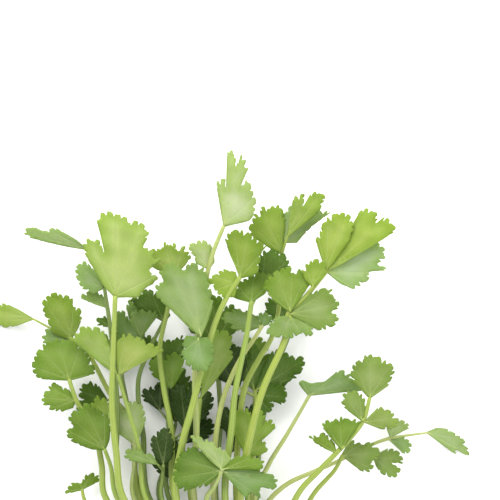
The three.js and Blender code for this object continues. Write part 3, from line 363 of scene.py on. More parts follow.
    [[25.5, 80, 18.9], [34, 89.5, 21.8], [42.8, 98.8, 25], [51.2, 109.2, 27], [54, 118.8, 29]],
    [
      Leaf("sage", [54, 118.8, 29], [0, 0.1], -1, 1, [[48.5, 130.5, 4.5], [54.5, 135.2, 4.5],
        [61.5, 131.5, 4.5], [62.5, 125, 3.5]], [[379, 393], [387, 387], [391, 379], [394, 371], [390, 364],
        [384, 361], [377, 357], [367, 356], [360, 361], [354, 366], [352, 375], [354, 383], [361, 390]]),
      Leaf("sage", [51, 109.6, 28.4], [-0.1, 0.1], 0, 0.8, [[44, 120.5, 4], [49.5, 121.5, 3.5]],
        [[366, 411], [365, 401], [360, 394], [351, 391], [344, 395], [342, 401], [345, 408], [353, 415]]),
      Leaf("sage", [52, 109, 27.4], [0.1, 0], -1, 0.78, [[58, 115, 3.5], [64.5, 111, 4], [61, 106.5, 3]],
        [[380, 429], [391, 429], [398, 424], [395, 418], [393, 414], [386, 410], [379, 408], [373, 413],
        [369, 417]]),
      Leaf("mid", [42.8, 98, 26.5], [0, 0.2], 0, 0.56, [[36.5, 108, 4], [42, 111, 4.5], [48.5, 109.5, 3.5]],
        [[351, 438], [360, 424], [354, 420], [347, 420], [341, 418], [334, 421], [326, 422], [322, 427],
        [326, 432], [331, 439]]),
      Leaf("mid", [40.6, 96.4, 25], [-0.05, 0.1], 0, 0.53, [[30.5, 103, 2.5], [36, 104.5, 3]], [[335, 444],
        [329, 438], [324, 434], [318, 437], [310, 437], [315, 443], [324, 449]]),
    ]),
  "left_broad": Stem([0, 2], 1.25, "stalk",
    [[-52.4, 78, 13], [-53.8, 91, 14.6], [-56.5, 104, 16.6], [-61.5, 113, 18], [-64, 117.6, 19],
      [-66.8, 126, 20.5]],
    [
      Leaf("mid", [-66.8, 126, 20.5], [0.05, 0.2], -3, 1, [[-81, 131, 4.2], [-78.5, 138.5, 5],
        [-71, 141.5, 5], [-63, 137.5, 5], [-58.5, 128, 5]], [[82, 378], [93, 373], [88, 358], [80, 347],
        [66, 341], [52, 341], [41, 347], [34, 358], [31, 369], [38, 379], [54, 381]]),
      Leaf("mid", [-64.6, 117.4, 18.4], [0.05, 0], 0, 0.79, [[-73.5, 122.2, 2.4], [-76.5, 118.5, 3],
        [-73, 114.5, 3]], [[68, 391], [60, 388], [54, 384], [47, 389], [43, 396], [41, 402], [45, 408],
        [52, 411], [62, 412], [72, 409]]),
    ]),
  "left_back": Stem([1, 2], 1.1, "stalk_dark",
    [[-45.5, 78, 13], [-47.5, 118, 19], [-49.8, 144, 23], [-51.2, 154.8, 26], [-52.4, 163, 28]],
    [
      Leaf("pale", [-58.8, 178, 32], [0.05, 0.5], 0, 1, [[-84, 185.3, 2], [-72.5, 185, 2.2]], [[77, 240],
        [67, 234], [56, 229], [44, 231], [34, 227], [25, 231], [29, 237], [42, 241], [54, 244], [68, 247]]),
      Leaf("mint", [-52.4, 163, 28], [0, 0.1], 0, 1, [[-63, 172.5, 3.5], [-63, 166.5, 3.5]], [[92, 268],
        [84, 262], [77, 267], [76, 274], [79, 282], [84, 289], [93, 294]]),
      Leaf("grey", [-51.2, 154.8, 26], [0.1, 0], 0, 0.9, [[-62, 159, 2.8], [-56, 161.5, 2.5]], [[104, 297],
        [96, 292], [87, 293], [79, 297], [88, 302], [98, 306]]),
      Leaf("deep", [-50, 147.2, 24], [0, 0], 0, 0.8, [[-55, 150.4, 1.8]]),
    ]),
  "low_pale": Stem([2, 2], 1.0, "stalk_pale",
    [[-41, 78, 13], [-40.6, 92, 14.6], [-40.4, 99.6, 15.4]],
    [
      Leaf("pale", [-40.4, 99.6, 15.4], [0, 0], 0, 1, [[-48, 114.8, 4.5], [-42, 116.5, 4.5]]),
      Leaf("light", [-50.8, 110, 13.2], [0, 0], 0, 0.97, [[-57.6, 117.2, 3.5], [-52.8, 118.8, 3.5]],
        [[108, 408], [105, 402], [100, 399], [95, 398], [93, 404], [90, 406], [97, 413]]),
    ]),
  "inner_bright": Stem([3, 2], 1.2, "stalk",
    [[-24.5, 78, 13], [-25.6, 105, 17], [-28.8, 122.8, 19.5], [-30.3, 138, 22.8], [-27, 154, 27.8],
      [-24.2, 167.8, 33.5]],
    [
      Leaf("soft", [-24.2, 167.8, 33.5], [0.1, 0.25], -2, 1, [[-34, 177, 3.5], [-28, 181, 5],
        [-21, 179.5, 4.5], [-18, 175.5, 3]], [[184, 267], [190, 258], [187, 251], [184, 247], [178, 251],
        [174, 243], [169, 246], [165, 243], [161, 249], [153, 250], [145, 256], [148, 264], [158, 270]]),
    ]),
  "centre_folded": Stem([4, 2], 1.15, "stalk",
    [[-18, 78, 12.5], [-15.6, 102, 16], [-14, 118, 18.5]],
    [
      Leaf("soft", [-14, 118, 18.5], [0, 0.12], 0, 1, [[-5.5, 141, 3.5], [0, 143, 3.5], [-0.8, 136, 3.5]],
        [[213, 385], [222, 373], [230, 362], [232, 355], [229, 350], [233, 342], [227, 333], [216, 332],
        [210, 340], [205, 358]]),
    ]),
  "right_top": Stem([5, 2], 1.25, "stalk",
    [[0.5, 78, 13], [1.4, 104, 17], [4, 123, 20], [9.5, 134, 21.6], [15.2, 144, 23.7],
      [18.4, 162, 27], [18.8, 176.4, 31]],
    [
      Leaf("light", [18.8, 176.4, 31], [-0.1, 0.2], -3, 1, [[7, 188, 4.5], [11, 194, 4.5], [18, 195, 4.5]],
        [[284, 238], [285, 222], [281, 208], [275, 206], [269, 209], [262, 208], [260, 217], [255, 215],
        [253, 222], [250, 228], [251, 236], [262, 243], [272, 250]]),
      Leaf("soft", [20.8, 183, 34], [0.1, 0.2], 0, 1, [[23.5, 199, 4.5], [28.5, 201, 4], [33.5, 199.5, 4]],
        [[318, 212], [321, 205], [325, 198], [317, 193], [310, 195], [303, 206], [304, 195], [297, 197],
        [293, 199], [291, 208]]),
      Leaf("pale", [20, 181, 31.5], [-0.05, 0], 0, 1, [[37, 192.5, 3], [29.5, 185.5, 3.5]], [[297, 243],
        [309, 229], [322, 219], [330, 212], [316, 212], [302, 210], [291, 207], [286, 213], [282, 217],
        [280, 232]]),
    ]),
  "right_edgewise": Stem([6, 2], 1.0, "stalk_pale",
    [[8, 78, 13], [13.6, 91.6, 15], [20.4, 102.8, 17], [24.8, 110.4, 18], [30, 119.6, 20]],
    [
      Leaf("mint", [30, 119.6, 20], [0.15, 0.45], -3, 1, [[27, 125.5, 1.8], [39.5, 127, 2.2],
        [47, 127.5, 3], [51.5, 123.5, 2.2]], [[345, 393], [364, 391], [352, 380], [349, 374], [342, 372],
        [335, 374], [325, 382], [318, 383], [311, 384], [303, 381], [299, 384], [303, 390]]),
    ]),
  "right_low": Stem([7, 2], 1.1, "stalk",
    [[31, 78.4, 13], [40.4, 89.6, 16], [43.2, 95.2, 17.5]],
    [
      Leaf("sage", [43.2, 95.2, 17.5], [0.05, 0.05], 0, 1, [[46.8, 101.5, 3.5], [53.5, 101, 4],
        [58, 96.5, 4], [55, 90, 4.5], [48, 90.5, 3.5]], [[353, 466], [360, 471], [369, 473], [374, 467],
        [373, 463], [380, 456], [378, 450], [372, 444], [364, 445], [357, 444], [351, 441], [347, 447]]),
      Leaf("sage", [56, 94.4, 14], [-0.05, 0], 0, 0.97, [[62, 98, 3.5], [67, 93.5, 4], [64.5, 87, 4],
        [57.5, 88.5, 3]], [[377, 468], [382, 474], [390, 478], [397, 478], [401, 471], [393, 465],
        [403, 465], [403, 460], [399, 454], [390, 451], [383, 453]]),
    ]),
  "low_tiny": Stem([0, 1], 0.9, "stalk",
    [[-59, 73, 7], [-61.4, 78, 7.5], [-62, 81.2, 8]],
    [
      Leaf("mid", [-62, 81.2, 8], [0, 0.1], 0, 1, [[-68.6, 80.5, 2], [-64, 86.5, 2.8], [-58, 88, 2.8],
        [-54.8, 84.5, 2.5]], [[88, 489], [95, 485], [97, 480], [89, 476], [82, 480], [79, 486], [72, 485],
        [66, 491], [64, 496], [73, 495]]),
    ]),
  "left_edge": Stem([1, 1], 1.2, "stalk",
    [[-39, 78, 8], [-41.6, 107.6, 9.6], [-50.4, 119.6, 10.6], [-60, 137, 13], [-66.4, 142, 15]],
    [
      Leaf("mid", [-66.4, 142, 15], [0.1, 0.25], -3, 1, [[-77, 157.5, 4], [-71, 160, 4.5], [-65, 158.5, 4],
        [-62, 151, 3]], [[77, 329], [80, 319], [78, 310], [72, 307], [71, 300], [66, 297], [61, 297],
        [55, 294], [48, 296], [42, 302], [42, 311], [47, 323], [51, 334]]),
      Leaf("grey", [-66.6, 141.6, 14.6], [0.15, 0], 0, 0.98, [[-77.8, 143, 3.5], [-74, 147, 3]], [[60, 331],
        [50, 329], [44, 331], [41, 336], [42, 343], [48, 347], [58, 345]]),
      Leaf("soft", [-81.6, 150, 8.15], [0.4, 0], -0.6, 1, [[-92.5, 155.4, 2.4], [-98.8, 154, 3],
        [-99, 149.4, 3], [-92.5, 147, 2.4]], [[17, 311], [8, 307], [-1, 305], [-10, 309], [-15, 317],
        [-8, 324], [3, 328], [13, 327]]),
    ]),
  "inner_curly": Stem([2, 1], 1.15, "stalk_dark",
    [[-35, 78, 8], [-37.2, 103, 10], [-38.8, 114, 11.5], [-39, 126, 13], [-35, 137, 15.5],
      [-28.8, 149.2, 17]],
    [
      Leaf("deep", [-28.8, 149.2, 17], [0, 0.1], -1, 1, [[-39, 157, 4.5], [-34, 161.5, 5],
        [-28, 154.5, 4.5]], [[170, 316], [167, 309], [164, 303], [158, 298], [153, 293], [146, 290],
        [139, 296], [131, 301], [137, 308], [149, 315]]),
      Leaf("grey", [-38, 142.8, 19], [0, 0.15], 0, 0.8, [[-41.5, 152.5, 3.5], [-34.5, 153.5, 3.5]],
        [[150, 326], [157, 315], [146, 311], [133, 312], [129, 320], [133, 330]]),
      Leaf("grey", [-38.5, 133, 15], [0.05, 0], 0, 0.72, [[-46.5, 153, 4], [-42, 157.5, 4]]),
    ]),
  "inner_dark": Stem([3, 1], 1.1, "stalk_dark",
    [[-27, 78, 8], [-27, 104, 9.5], [-28, 128, 11.8]],
    [
      Leaf("deep", [-28, 128, 11.8], [0, 0.03], 0, 1, [[-36, 141, 4], [-30, 144, 5], [-21.5, 141, 4]],
        [[182, 362], [184, 348], [181, 337], [174, 341], [165, 342], [158, 343], [148, 337], [141, 341],
        [148, 352], [152, 362]]),
      Leaf("mid", [-25.5, 122, 13.4], [0, 0.1], 0, 0.9, [[-32, 135, 4], [-25, 136.5, 4]]),
      Leaf("dark", [-20, 105, 12.6], [0, 0.08], 0, 0.42, [[-22, 123.5, 4.5], [-15.5, 126, 4.8],
        [-11, 120.5, 3.8]]),
      Leaf("dark", [-23.4, 84.5, 10.4], [0, 0.1], 0, 0.06, [[-31, 96, 4.2], [-23.5, 100.5, 4.6],
        [-16, 97, 4.2]]),
    ]),
  "right_dark": Stem([4, 1], 1.2, "stalk",
    [[6, 78, 8], [8, 105, 9.6], [8, 121, 11]],
    [
      Leaf("deep", [8, 121, 11], [0, 0.08], 0, 1, [[20, 137, 5], [27.5, 133.5, 4.5], [25, 127, 4]],
        [[285, 385], [297, 378], [304, 366], [302, 359], [290, 357], [280, 351], [270, 356], [262, 372]]),
      Leaf("deep", [8.2, 119.6, 11], [0, 0.05], 0, 0.97, [[20.5, 118.5, 5], [14, 113, 5]]),
      Leaf("deep", [7.6, 121.5, 11], [0, 0.02], 0, 0.98, [[2, 138, 4.5], [7, 139.5, 4]]),
      Leaf("dark", [1.6, 122.5, 13], [0, 0.1], 0, 0.93, [[-8, 135, 4], [-1.5, 139.5, 4]]),
      Leaf("dark", [1.5, 101, 12], [0, 0.08], 0, 0.42, [[-4.5, 114, 4], [1, 119, 4.6], [7, 115, 4]]),
    ]),
  "right_far": Stem([5, 1], 1.0, "stalk_pale",
    [[11.6, 73, 7.2], [20, 82.5, 7.5], [31.6, 88.2, 8], [39.6, 91.6, 8.4], [56, 99.6, 9],
      [62.8, 102, 9]],
    [
      Leaf("pale", [77.6, 104, 8.12], [-0.4, 0], -0.7, 1, [[84.8, 105.4, 2.2], [91, 101.5, 3.4],
        [94.6, 95.8, 3], [87, 98.6, 2.4]], [[452, 453], [458, 456], [460, 453], [471, 459], [470, 450],
        [465, 442], [456, 436], [448, 431], [439, 430]]),
      Leaf("pale", [63, 102.4, 9.6], [0, 0.1], 0, 1, [[65, 110, 3], [70, 107.5, 2.8]], [[400, 436],
        [409, 431], [410, 427], [404, 423], [398, 421], [391, 424], [388, 431]]),
      Leaf("mint", [62, 101.4, 8.6], [0, 0], 0, 0.98, [[69, 99.4, 2.2], [69.8, 94.4, 2.2]], [[402, 454],
        [409, 455], [413, 449], [409, 442], [401, 438]]),
    ]),
  "under_left": Stem([0, 0], 1.15, "stalk_dark",
    [[-38, 78, 3.2], [-42, 105, 4], [-46, 128, 5]],
    [
      Leaf("mid", [-46, 128, 5], [0, 0.05], 0, 1, [[-54, 143, 5], [-46, 147, 5.5], [-38, 143, 5]]),
      Leaf("deep", [-52, 117, 5], [0, 0], 0, 0.8, [[-63, 121, 4.5], [-64, 114, 4]]),
    ]),
  "inner_small": Stem([1, 0], 1.0, "stalk_dark",
    [[-31, 78, 3.2], [-27, 95, 4.2], [-24, 108, 5.6]],
    [
      Leaf("deep", [-24, 108, 5.6], [0, 0.05], 0, 1, [[-28, 127, 4], [-22.5, 130, 4]]),
      Leaf("dark", [-30.5, 113, 6.4], [0, 0], 0, 0.9, [[-36, 122, 3], [-30.5, 123.5, 3]]),
      Leaf("dark", [-20, 100, 6], [0, 0], 0, 0.75, [[-14.5, 114, 4], [-10, 109, 4]]),
    ]),
  "under_middle": Stem([2, 0], 1.4, "stalk_dark",
    [[-8, 78, 3.2], [-6, 110, 4.4], [-8, 140, 6]],
    [
      Leaf("deep", [-8, 140, 6], [0, 0.05], 0, 1, [[-18, 155, 5], [-9, 159.5, 6], [0, 155, 5]]),
      Leaf("mid", [2, 130, 6], [0, 0], 0, 0.75, [[12, 141, 5], [15, 134, 4]]),
      Leaf("dark", [-2, 96, 4.6], [0, 0.05], 0, 0.1, [[2, 111, 4.2], [5.6, 105, 2.6]]),
    ]),
  "under_right": Stem([3, 0], 1.15, "stalk_dark",
    [[8.6, 78, 3.2], [10.5, 105, 4.4], [16, 128, 6], [23, 146, 8]],
    [
      Leaf("deep", [23, 146, 8], [0, 0.1], -2, 1, [[15, 159, 5], [23, 164, 6], [31, 159, 5]]),
      Leaf("deep", [16, 118, 5.2], [0.05, 0], 0, 0.6, [[22, 128, 4.2], [20, 120, 3]]),
    ]),
}


def seeded_random(seed):
    """Endless draws from 0 to 1, by the same rule as in the solids."""
    state = float(seed)
    while True:
        state = (state * DRAW_FACTOR + DRAW_STEP) % DRAW_RANGE
        yield state / DRAW_RANGE


def curve_point(points, t):
    """Catmull-Rom curve through the points, t from 0 to 1, with uneven spans kept free of kinks."""
    spans = len(points) - 1
    at = min(t * spans, spans - NEARLY_ZERO)
    i = int(at)
    f = at - i
    p1, p2 = points[i], points[i + 1]
    p0 = points[i - 1] if i > 0 else 2 * p1 - p2
    p3 = points[i + 2] if i + 2 <= spans else 2 * p2 - p1
    before, here, after = (np.linalg.norm(v) ** SPAN_EASE for v in (p1 - p0, p2 - p1, p3 - p2))
    step = p2 - p1
    leave = step + here * ((p1 - p0) / before - (p2 - p0) / (before + here))
    arrive = step + here * ((p3 - p2) / after - (p3 - p1) / (here + after))
    square = 3 * step - 2 * leave - arrive
    cube = leave + arrive - 2 * step
    return p1 + f * (leave + f * (square + f * cube))


def stalk_points(stem, cut_draw):
    """Points of the stalk inside the bundle, then its path."""
    column, row = stem.slot
    x = (column - (ROW_COUNTS[row] - 1) / 2) * BUNDLE_COLUMN_PITCH
    z = BUNDLE_FLOOR + row * BUNDLE_ROW_PITCH
    first = stem.path[0]
    fan_x = x + (first[0] - x) * FAN_OUT_SHARE
    fan_z = z + (first[2] - z) * FAN_OUT_SHARE
    low = [[x, CUT_END_JITTER * cut_draw, z], [x, BUNDLE_LENGTH, z], [fan_x, FAN_OUT_AT, fan_z]]
    return np.array(low + stem.path, float)


def direction(angle):
    """The unit vector at an angle."""
    return np.array([math.cos(angle), math.sin(angle)])


def unit(vectors):
    """Each vector at length 1."""
    return vectors / np.linalg.norm(vectors, axis=1)[:, None]


def run_along(points):
    """Distance along a line of points, from its first point to each."""
    return np.r_[0, np.cumsum(np.linalg.norm(np.diff(points, axis=0), axis=1))]


def shifted(points, steps):
    """The points moved along their own row, with its ends repeated."""
    places = np.clip(np.arange(len(points)) + steps, 0, len(points) - 1)
    return points[places]


def smooth_share(value, low, high):
    """0 below low, 1 above high, smooth between."""
    f = np.clip((value - low) / (high - low), 0, 1)
    return f * f * (3 - 2 * f)


def lobes_of(leaf):
    """Aim of a leaf, and its lobes from right to left as (angle from the aim, reach, half angle)."""
    base = np.array(leaf.base[:2])
    away = [np.array(tip[:2]) - base for tip in leaf.tips]
    total = sum(away)
    aim = math.atan2(total[1], total[0])
    lobes = []
    for vector, tip in zip(away, leaf.tips):
        turn = math.atan2(vector[1], vector[0]) - aim
        reach = math.hypot(*vector)
        half = math.asin(min(WIDEST_HALF, LOBE_WIDENING * tip[2] / reach))
        lobes.append((math.atan2(math.sin(turn), math.cos(turn)), reach, half))
    return aim, sorted(lobes)


def lobed_edge(leaf):
    """Edge of a leaf that is given by its lobes alone, without teeth, as points from its base."""
    aim, lobes = lobes_of(leaf)
    rows = []
    for i, (angle, reach, half) in enumerate(lobes):
        right = left = half
        if i > 0:
            before = lobes[i - 1]
            right = min(half, (angle - before[0]) * half / (before[2] + half) * LOBE_FILL)
        if i < len(lobes) - 1:
            after = lobes[i + 1]
            border = (after[0] - angle) * half / (half + after[2])
            left = min(half, border * LOBE_FILL)
        flank = half + min(FLANK_TURN, FLANK_SHARE * half)
        if i == 0:
            rows.append((angle - flank, reach * FLANK_REACH))
        for k in range(CAP_SAMPLES + 1):
            s = 2 * k / CAP_SAMPLES - 1
            side = right if s < 0 else left
            rows.append((angle + s * side, reach * (1 - (1 - SHOULDER) * abs(s) ** CAP_ROUNDNESS)))
        if i < len(lobes) - 1:
            rows.append((angle + border, SINUS_REACH * min(reach, after[1])))
        else:
            rows.append((angle + flank, reach * FLANK_REACH))
    rows = np.array(rows)
    turn = aim + rows[:, 0]
    return np.stack([np.cos(turn), np.sin(turn)], 1) * rows[:, 1:]


def drawn_edge(leaf):
    """Edge of a leaf whose edge points are given, as a smooth curve through them, from its base."""
    steps = np.array(leaf.edge, float)
    right = (steps[:, 0] - EDGE_ORIGIN[0]) * EDGE_UNIT - leaf.base[0]
    up = (EDGE_ORIGIN[1] - steps[:, 1]) * EDGE_UNIT - leaf.base[1]
    points = np.stack([right, up], 1)
    pull = np.gradient(points, axis=0) * 2 * CURVE_PULL
    curve = []
    for p, q, m, n in zip(points, points[1:], pull, pull[1:]):
        for k in range(CURVE_SAMPLES):
            f = k / CURVE_SAMPLES
            start = (2 * f**3 - 3 * f**2 + 1) * p + (f**3 - 2 * f**2 + f) * m
            curve.append(start + (3 * f**2 - 2 * f**3) * q + (f**3 - f**2) * n)
    return np.array([*curve, points[-1]])


def outline_of(leaf):
    """Points of a leaf's toothed edge from right to left, from its base, in mm."""
    edge = drawn_edge(leaf) if leaf.edge else lobed_edge(leaf)
    size = np.hypot(edge[:, 0], edge[:, 1]).max()
    run = run_along(edge)
    teeth = max(FEWEST_TEETH, round(run[-1] / (TOOTH_PITCH + TOOTH_PITCH_GROWTH * size)))
    at = np.linspace(0, run[-1], teeth * SAMPLES_PER_TOOTH + 1)
    points = np.stack([np.interp(at, run, edge[:, 0]), np.interp(at, run, edge[:, 1])], 1)
    along = unit(np.gradient(points, axis=0))
    out = np.stack([along[:, 1], -along[:, 0]], 1)
    radius = np.hypot(points[:, 0], points[:, 1])
    away = points / radius[:, None]
    weight = smooth_share(radius / size, *TOOTHED_FROM)
    weight = weight * smooth_share((out * away).sum(1), *TOOTHED_FACING)
    chord = 0.5 * (shifted(points, SAMPLES_PER_TOOTH) + shifted(points, -SAMPLES_PER_TOOTH)) - points
    hollow = (chord * out).sum(1) * teeth / run[-1]
    weight = weight * (1 - smooth_share(hollow, *TOOTHLESS_HOLLOW))
    depth = TOOTH_DEPTH * run[-1] / teeth * weight * tooth_profile(leaf, at, teeth)
    return points + unit(away + out) * depth[:, None]


def tooth_profile(leaf, at, teeth):
    """How far teeth of depth 1 stand out or cut in at places along an edge."""
    shift = sum(part * np.sin(at * rate + turn) for (part, rate), turn in zip(TOOTH_WANDER, leaf.base))
    place = at / at[-1] * teeth + shift
    notch = np.abs(2 * np.mod(place, 1) - 1) ** TOOTH_ROUNDNESS
    deep_one = int(abs(leaf.base[0])) % DEEP_NOTCH_EVERY
    deeper = DEEP_NOTCH * (np.mod(np.round(place), DEEP_NOTCH_EVERY) == deep_one)
    return TOOTH_REST - notch * (1 + deeper)


def grid_over(outline, step):
    """Staggered rows of points a step apart over an outline."""
    low, high = outline.min(0), outline.max(0)
    columns = np.arange(low[0], high[0], step)
    rows = np.arange(low[1], high[1], step * GRID_ROW_SHARE)
    x, y = np.meshgrid(columns, rows)
    x = x + 0.5 * step * (np.arange(len(rows)) % 2)[:, None]
    return np.stack([x.ravel(), y.ravel()], 1)


def net_of(outline, veins, step):
    """Points and triangles a step apart that fill an outline, with lines of points on its veins."""
    grid = grid_over(outline, step)
    clear = margin_distance(grid, outline) > MARGIN_CLEARANCE * step
    corners, lines = list(outline), []
    for vein in veins:
        count = max(2, int(np.linalg.norm(vein) / step))
        points = vein * np.linspace(0, 1, count)[1:, None]
        clear &= np.linalg.norm(grid[:, None] - points[None], axis=2).min(1) > VEIN_CLEARANCE * step
        keep = inside(points, outline) & (margin_distance(points, outline) > VEIN_END_CLEARANCE * step)
        points = points[: len(points) if keep.all() else int(np.argmin(keep))]
        start = len(corners)
        corners.extend(points)
        lines.extend((start + i, start + i + 1) for i in range(len(points) - 1))
    grid = grid[clear & inside(grid, outline)]
    ring = list(range(len(outline)))
    vectors = [Vector(p) for p in (*corners, *grid)]
    points, _, faces, *_ = delaunay_2d_cdt(vectors, lines, [ring], 1, JOIN_DISTANCE)
    return np.array([tuple(p) for p in points]), faces


def inside(points, outline):
    """Whether each point lies inside a closed outline."""
    after = np.roll(outline, -1, axis=0)
    rise = after[:, 1] - outline[:, 1]
    rise = np.where(rise == 0, NEARLY_ZERO, rise)
    at_x = outline[:, 0] + (points[:, 1:] - outline[:, 1]) * (after[:, 0] - outline[:, 0]) / rise
    spans = (outline[:, 1] > points[:, 1:]) != (after[:, 1] > points[:, 1:])
    return (spans & (points[:, :1] < at_x)).sum(1) % 2 == 1


def margin_distance(points, outline):
    """Distance of each point from the nearest side of a closed outline."""
    after = np.roll(outline, -1, axis=0)
    side = after - outline
    offset = points[:, None, :] - outline[None, :, :]
    along = np.clip((offset * side).sum(2) / np.maximum((side * side).sum(1), SHORTEST_SQUARE), 0, 1)
    return np.linalg.norm(offset - along[..., None] * side, axis=2).min(1)


def height_at(leaf, x, y, size):
    """Height of a leaf's middle surface above its base, as in the solids."""
    share = np.hypot(x, y) / size
    wave = WAVE_HEIGHT * size * share**2 * np.sin(WAVES_ROUND * np.arctan2(y, x) + leaf.base[0])
    cup = CUP * size * share * (1 - share)
    slope_x, slope_y = leaf.slope
    return slope_x * x + slope_y * y + leaf.droop * share**2 + wave - cup


def vein_place(leaf, x, y):
    """Distance from the nearest main vein, and place along it, of points from a leaf's base."""
    aim, lobes = lobes_of(leaf)
    across = np.full(x.shape, np.inf)
    along = np.zeros(x.shape)
    for angle, _, _ in lobes:
        c, s = direction(aim + angle)
        u, v = x * c + y * s, np.abs(y * c - x * s)
        v = np.where(u < 0, np.hypot(x, y), v)
        along = np.where(v < across, u, along)
        across = np.minimum(across, v)
    return across, along


def fine_height(leaf, x, y, share, across, inset):
    """Soft swells, folded lobes, vein grooves and a curled margin, added to the middle surface."""
    fold = LOBE_FOLD * across * share
    groove = -VEIN_GROOVE * np.exp(-((across / VEIN_GROOVE_WIDTH) ** 2)) * (1 - VEIN_GROOVE_FADE * share)
    swell = np.zeros(x.shape)
    for k, (length_x, length_y) in enumerate(SWELL_LENGTHS):
        phase = leaf.base[0] * (k + 1) + leaf.base[1]
        swell += np.sin(math.pi * (x / length_x + y / length_y) + phase)
    curl = np.sin(2 * math.pi * (x + CURL_SLANT * y) / CURL_LENGTH + leaf.base[1]) - CURL_DROP
    near = np.exp(-inset / MARGIN_WIDTH) * smooth_share(share, *CURLED_FROM)
    return fold + groove + SWELL_HEIGHT * share * swell / 2 + MARGIN_CURL * near * curl


class Build:
    """Vertices, faces and per-vertex values of one piece."""

    def __init__(self):
        self.points, self.faces, self.values = [], [], []

    def add(self, points, faces, values):
        """Take in points with their values, and faces that count from the first of them."""
        start = len(self.points)
        self.points.extend(points)
        self.faces.extend([tuple(start + i for i in face) for face in faces])
        self.values.extend(values)


def add_blade(build, leaf, draw):
    """One leaf blade with its toothed edge, as a top, an underside and a rim."""
    aim, lobes = lobes_of(leaf)
    edge = outline_of(leaf)
    size = np.hypot(edge[:, 0], edge[:, 1]).max()
    outline = np.vstack([-BLADE_ROOT * direction(aim), edge])
    veins = [VEIN_REACH * reach * direction(aim + turn) for turn, reach, _ in lobes]
    flat, faces = net_of(outline, veins, GRID_STEP + GRID_STEP_GROWTH * size)
    x, y = flat[:, 0], flat[:, 1]
    share = np.hypot(x, y) / size
    inset = margin_distance(flat, outline)
    across, along = vein_place(leaf, x, y)
    z = height_at(leaf, x, y, size) + fine_height(leaf, x, y, share, across, inset)
    middle = np.stack([x, y, z], 1) + np.array(leaf.base)
    tint = shade(leaf.tone, draw)
    rows = np.stack([across, along, share, inset], 1)
    values = [(*row, under, *tint) for under in (0.0, 1.0) for row in rows]
    build.add(blade_points(leaf, middle, share), blade_faces(flat, faces), values)


def blade_points(leaf, middle, share):
    """Points of a blade's top, then of its underside, on each side of its middle surface."""
    normal = np.array([-leaf.slope[0], -leaf.slope[1], 1.0])
    normal /= np.linalg.norm(normal)
    half = 0.5 * BLADE_THICKNESS * (1 - BLADE_THINNING * share**3)[:, None]
    top, bottom = middle + half * normal, middle - half * normal
    top[:, 2] = np.maximum(top[:, 2], FLOOR_REST + 0.5 * BLADE_THICKNESS)
    bottom[:, 2] = np.maximum(bottom[:, 2], FLOOR_REST)
    return np.vstack([top, bottom])


def blade_faces(flat, faces):
    """Faces of a blade from the triangles of its top, whose underside's points follow the top's."""
    n = len(flat)
    upward = []
    for a, b, c in faces:
        p, q = flat[b] - flat[a], flat[c] - flat[a]
        upward.append((a, b, c) if p[0] * q[1] > p[1] * q[0] else (a, c, b))
    sides = {side for a, b, c in upward for side in ((a, b), (b, c), (c, a))}
    rim = [(a, a + n, b + n, b) for a, b in sorted(sides) if (b, a) not in sides]
    return upward + [(a + n, c + n, b + n) for a, b, c in upward] + rim


def shade(tone, draw):
    """A tone with a small seeded change, as linear colour."""
    srgb = np.array(TONES[tone], float) / 255
    srgb = srgb * (1 + BRIGHTNESS_SPREAD * (draw - 0.5))
    srgb[0] *= 1 + RED_SPREAD * (draw - 0.5)
    linear = np.where(srgb <= 0.04045, srgb / 12.92, ((srgb + 0.055) / 1.055) ** 2.4)
    return tuple(linear / LIGHT_GAIN)


def lit(red, green, blue):
    """The base colour that looks like this linear colour in the bright studio light."""
    return (red / LIGHT_GAIN, green / LIGHT_GAIN, blue / LIGHT_GAIN, 1.0)


def add_tube(build, centres, radii, sides, along, tint, ribbed):
    """A tube along the centres, closed at both ends, with fine ribs along it."""
    centres = np.array(centres)
    centres[:, 2] = np.maximum(centres[:, 2], np.array(radii) + FLOOR_REST)
    tangent = unit(np.gradient(centres, axis=0))
    side = unit(np.cross(tangent, [0, 0, 1.0]))
    top = np.cross(side, tangent)
    points, values = [], []
    for i, centre in enumerate(centres):
        for k in range(sides):
            angle = 2 * math.pi * k / sides
            rib = 1 + (STALK_RIB if k % 2 else -STALK_RIB) * ribbed
            offset = math.cos(angle) * side[i] + math.sin(angle) * top[i]
            points.append(centre + offset * radii[i] * rib)
            values.append((k / sides, 0.0, along[i], radii[i], 0.0, *tint))
    points.append(centres[0] + START_CAP * radii[0] * tangent[0])
    points.append(centres[-1] + END_CAP * radii[-1] * tangent[-1])
    values += [(0.0, 1.0, along[0], 0.0, 0.0, *tint), (0.0, 0.0, along[-1], radii[-1], 0.0, *tint)]
    build.add(points, tube_faces(len(centres), sides), values)


def tube_faces(rings, sides):
    """Faces of a tube, whose two end points follow the points of its rings."""
    faces = []
    for i in range(rings - 1):
        for k in range(sides):
            a = i * sides + k
            b = i * sides + (k + 1) % sides
            faces.append((a, a + sides, b + sides, b))
    last = (rings - 1) * sides
    count = rings * sides
    for k in range(sides):
        faces.append((count, k, (k + 1) % sides))
        faces.append((count + 1, last + (k + 1) % sides, last + k))
    return faces


def path_share(stem, points, joint):
    """Where on the whole stalk curve a leaf's side stalk starts."""
    below = len(points) - len(stem.path)
    return min(1.0, (below + joint * (len(stem.path) - 1)) / (len(points) - 1))


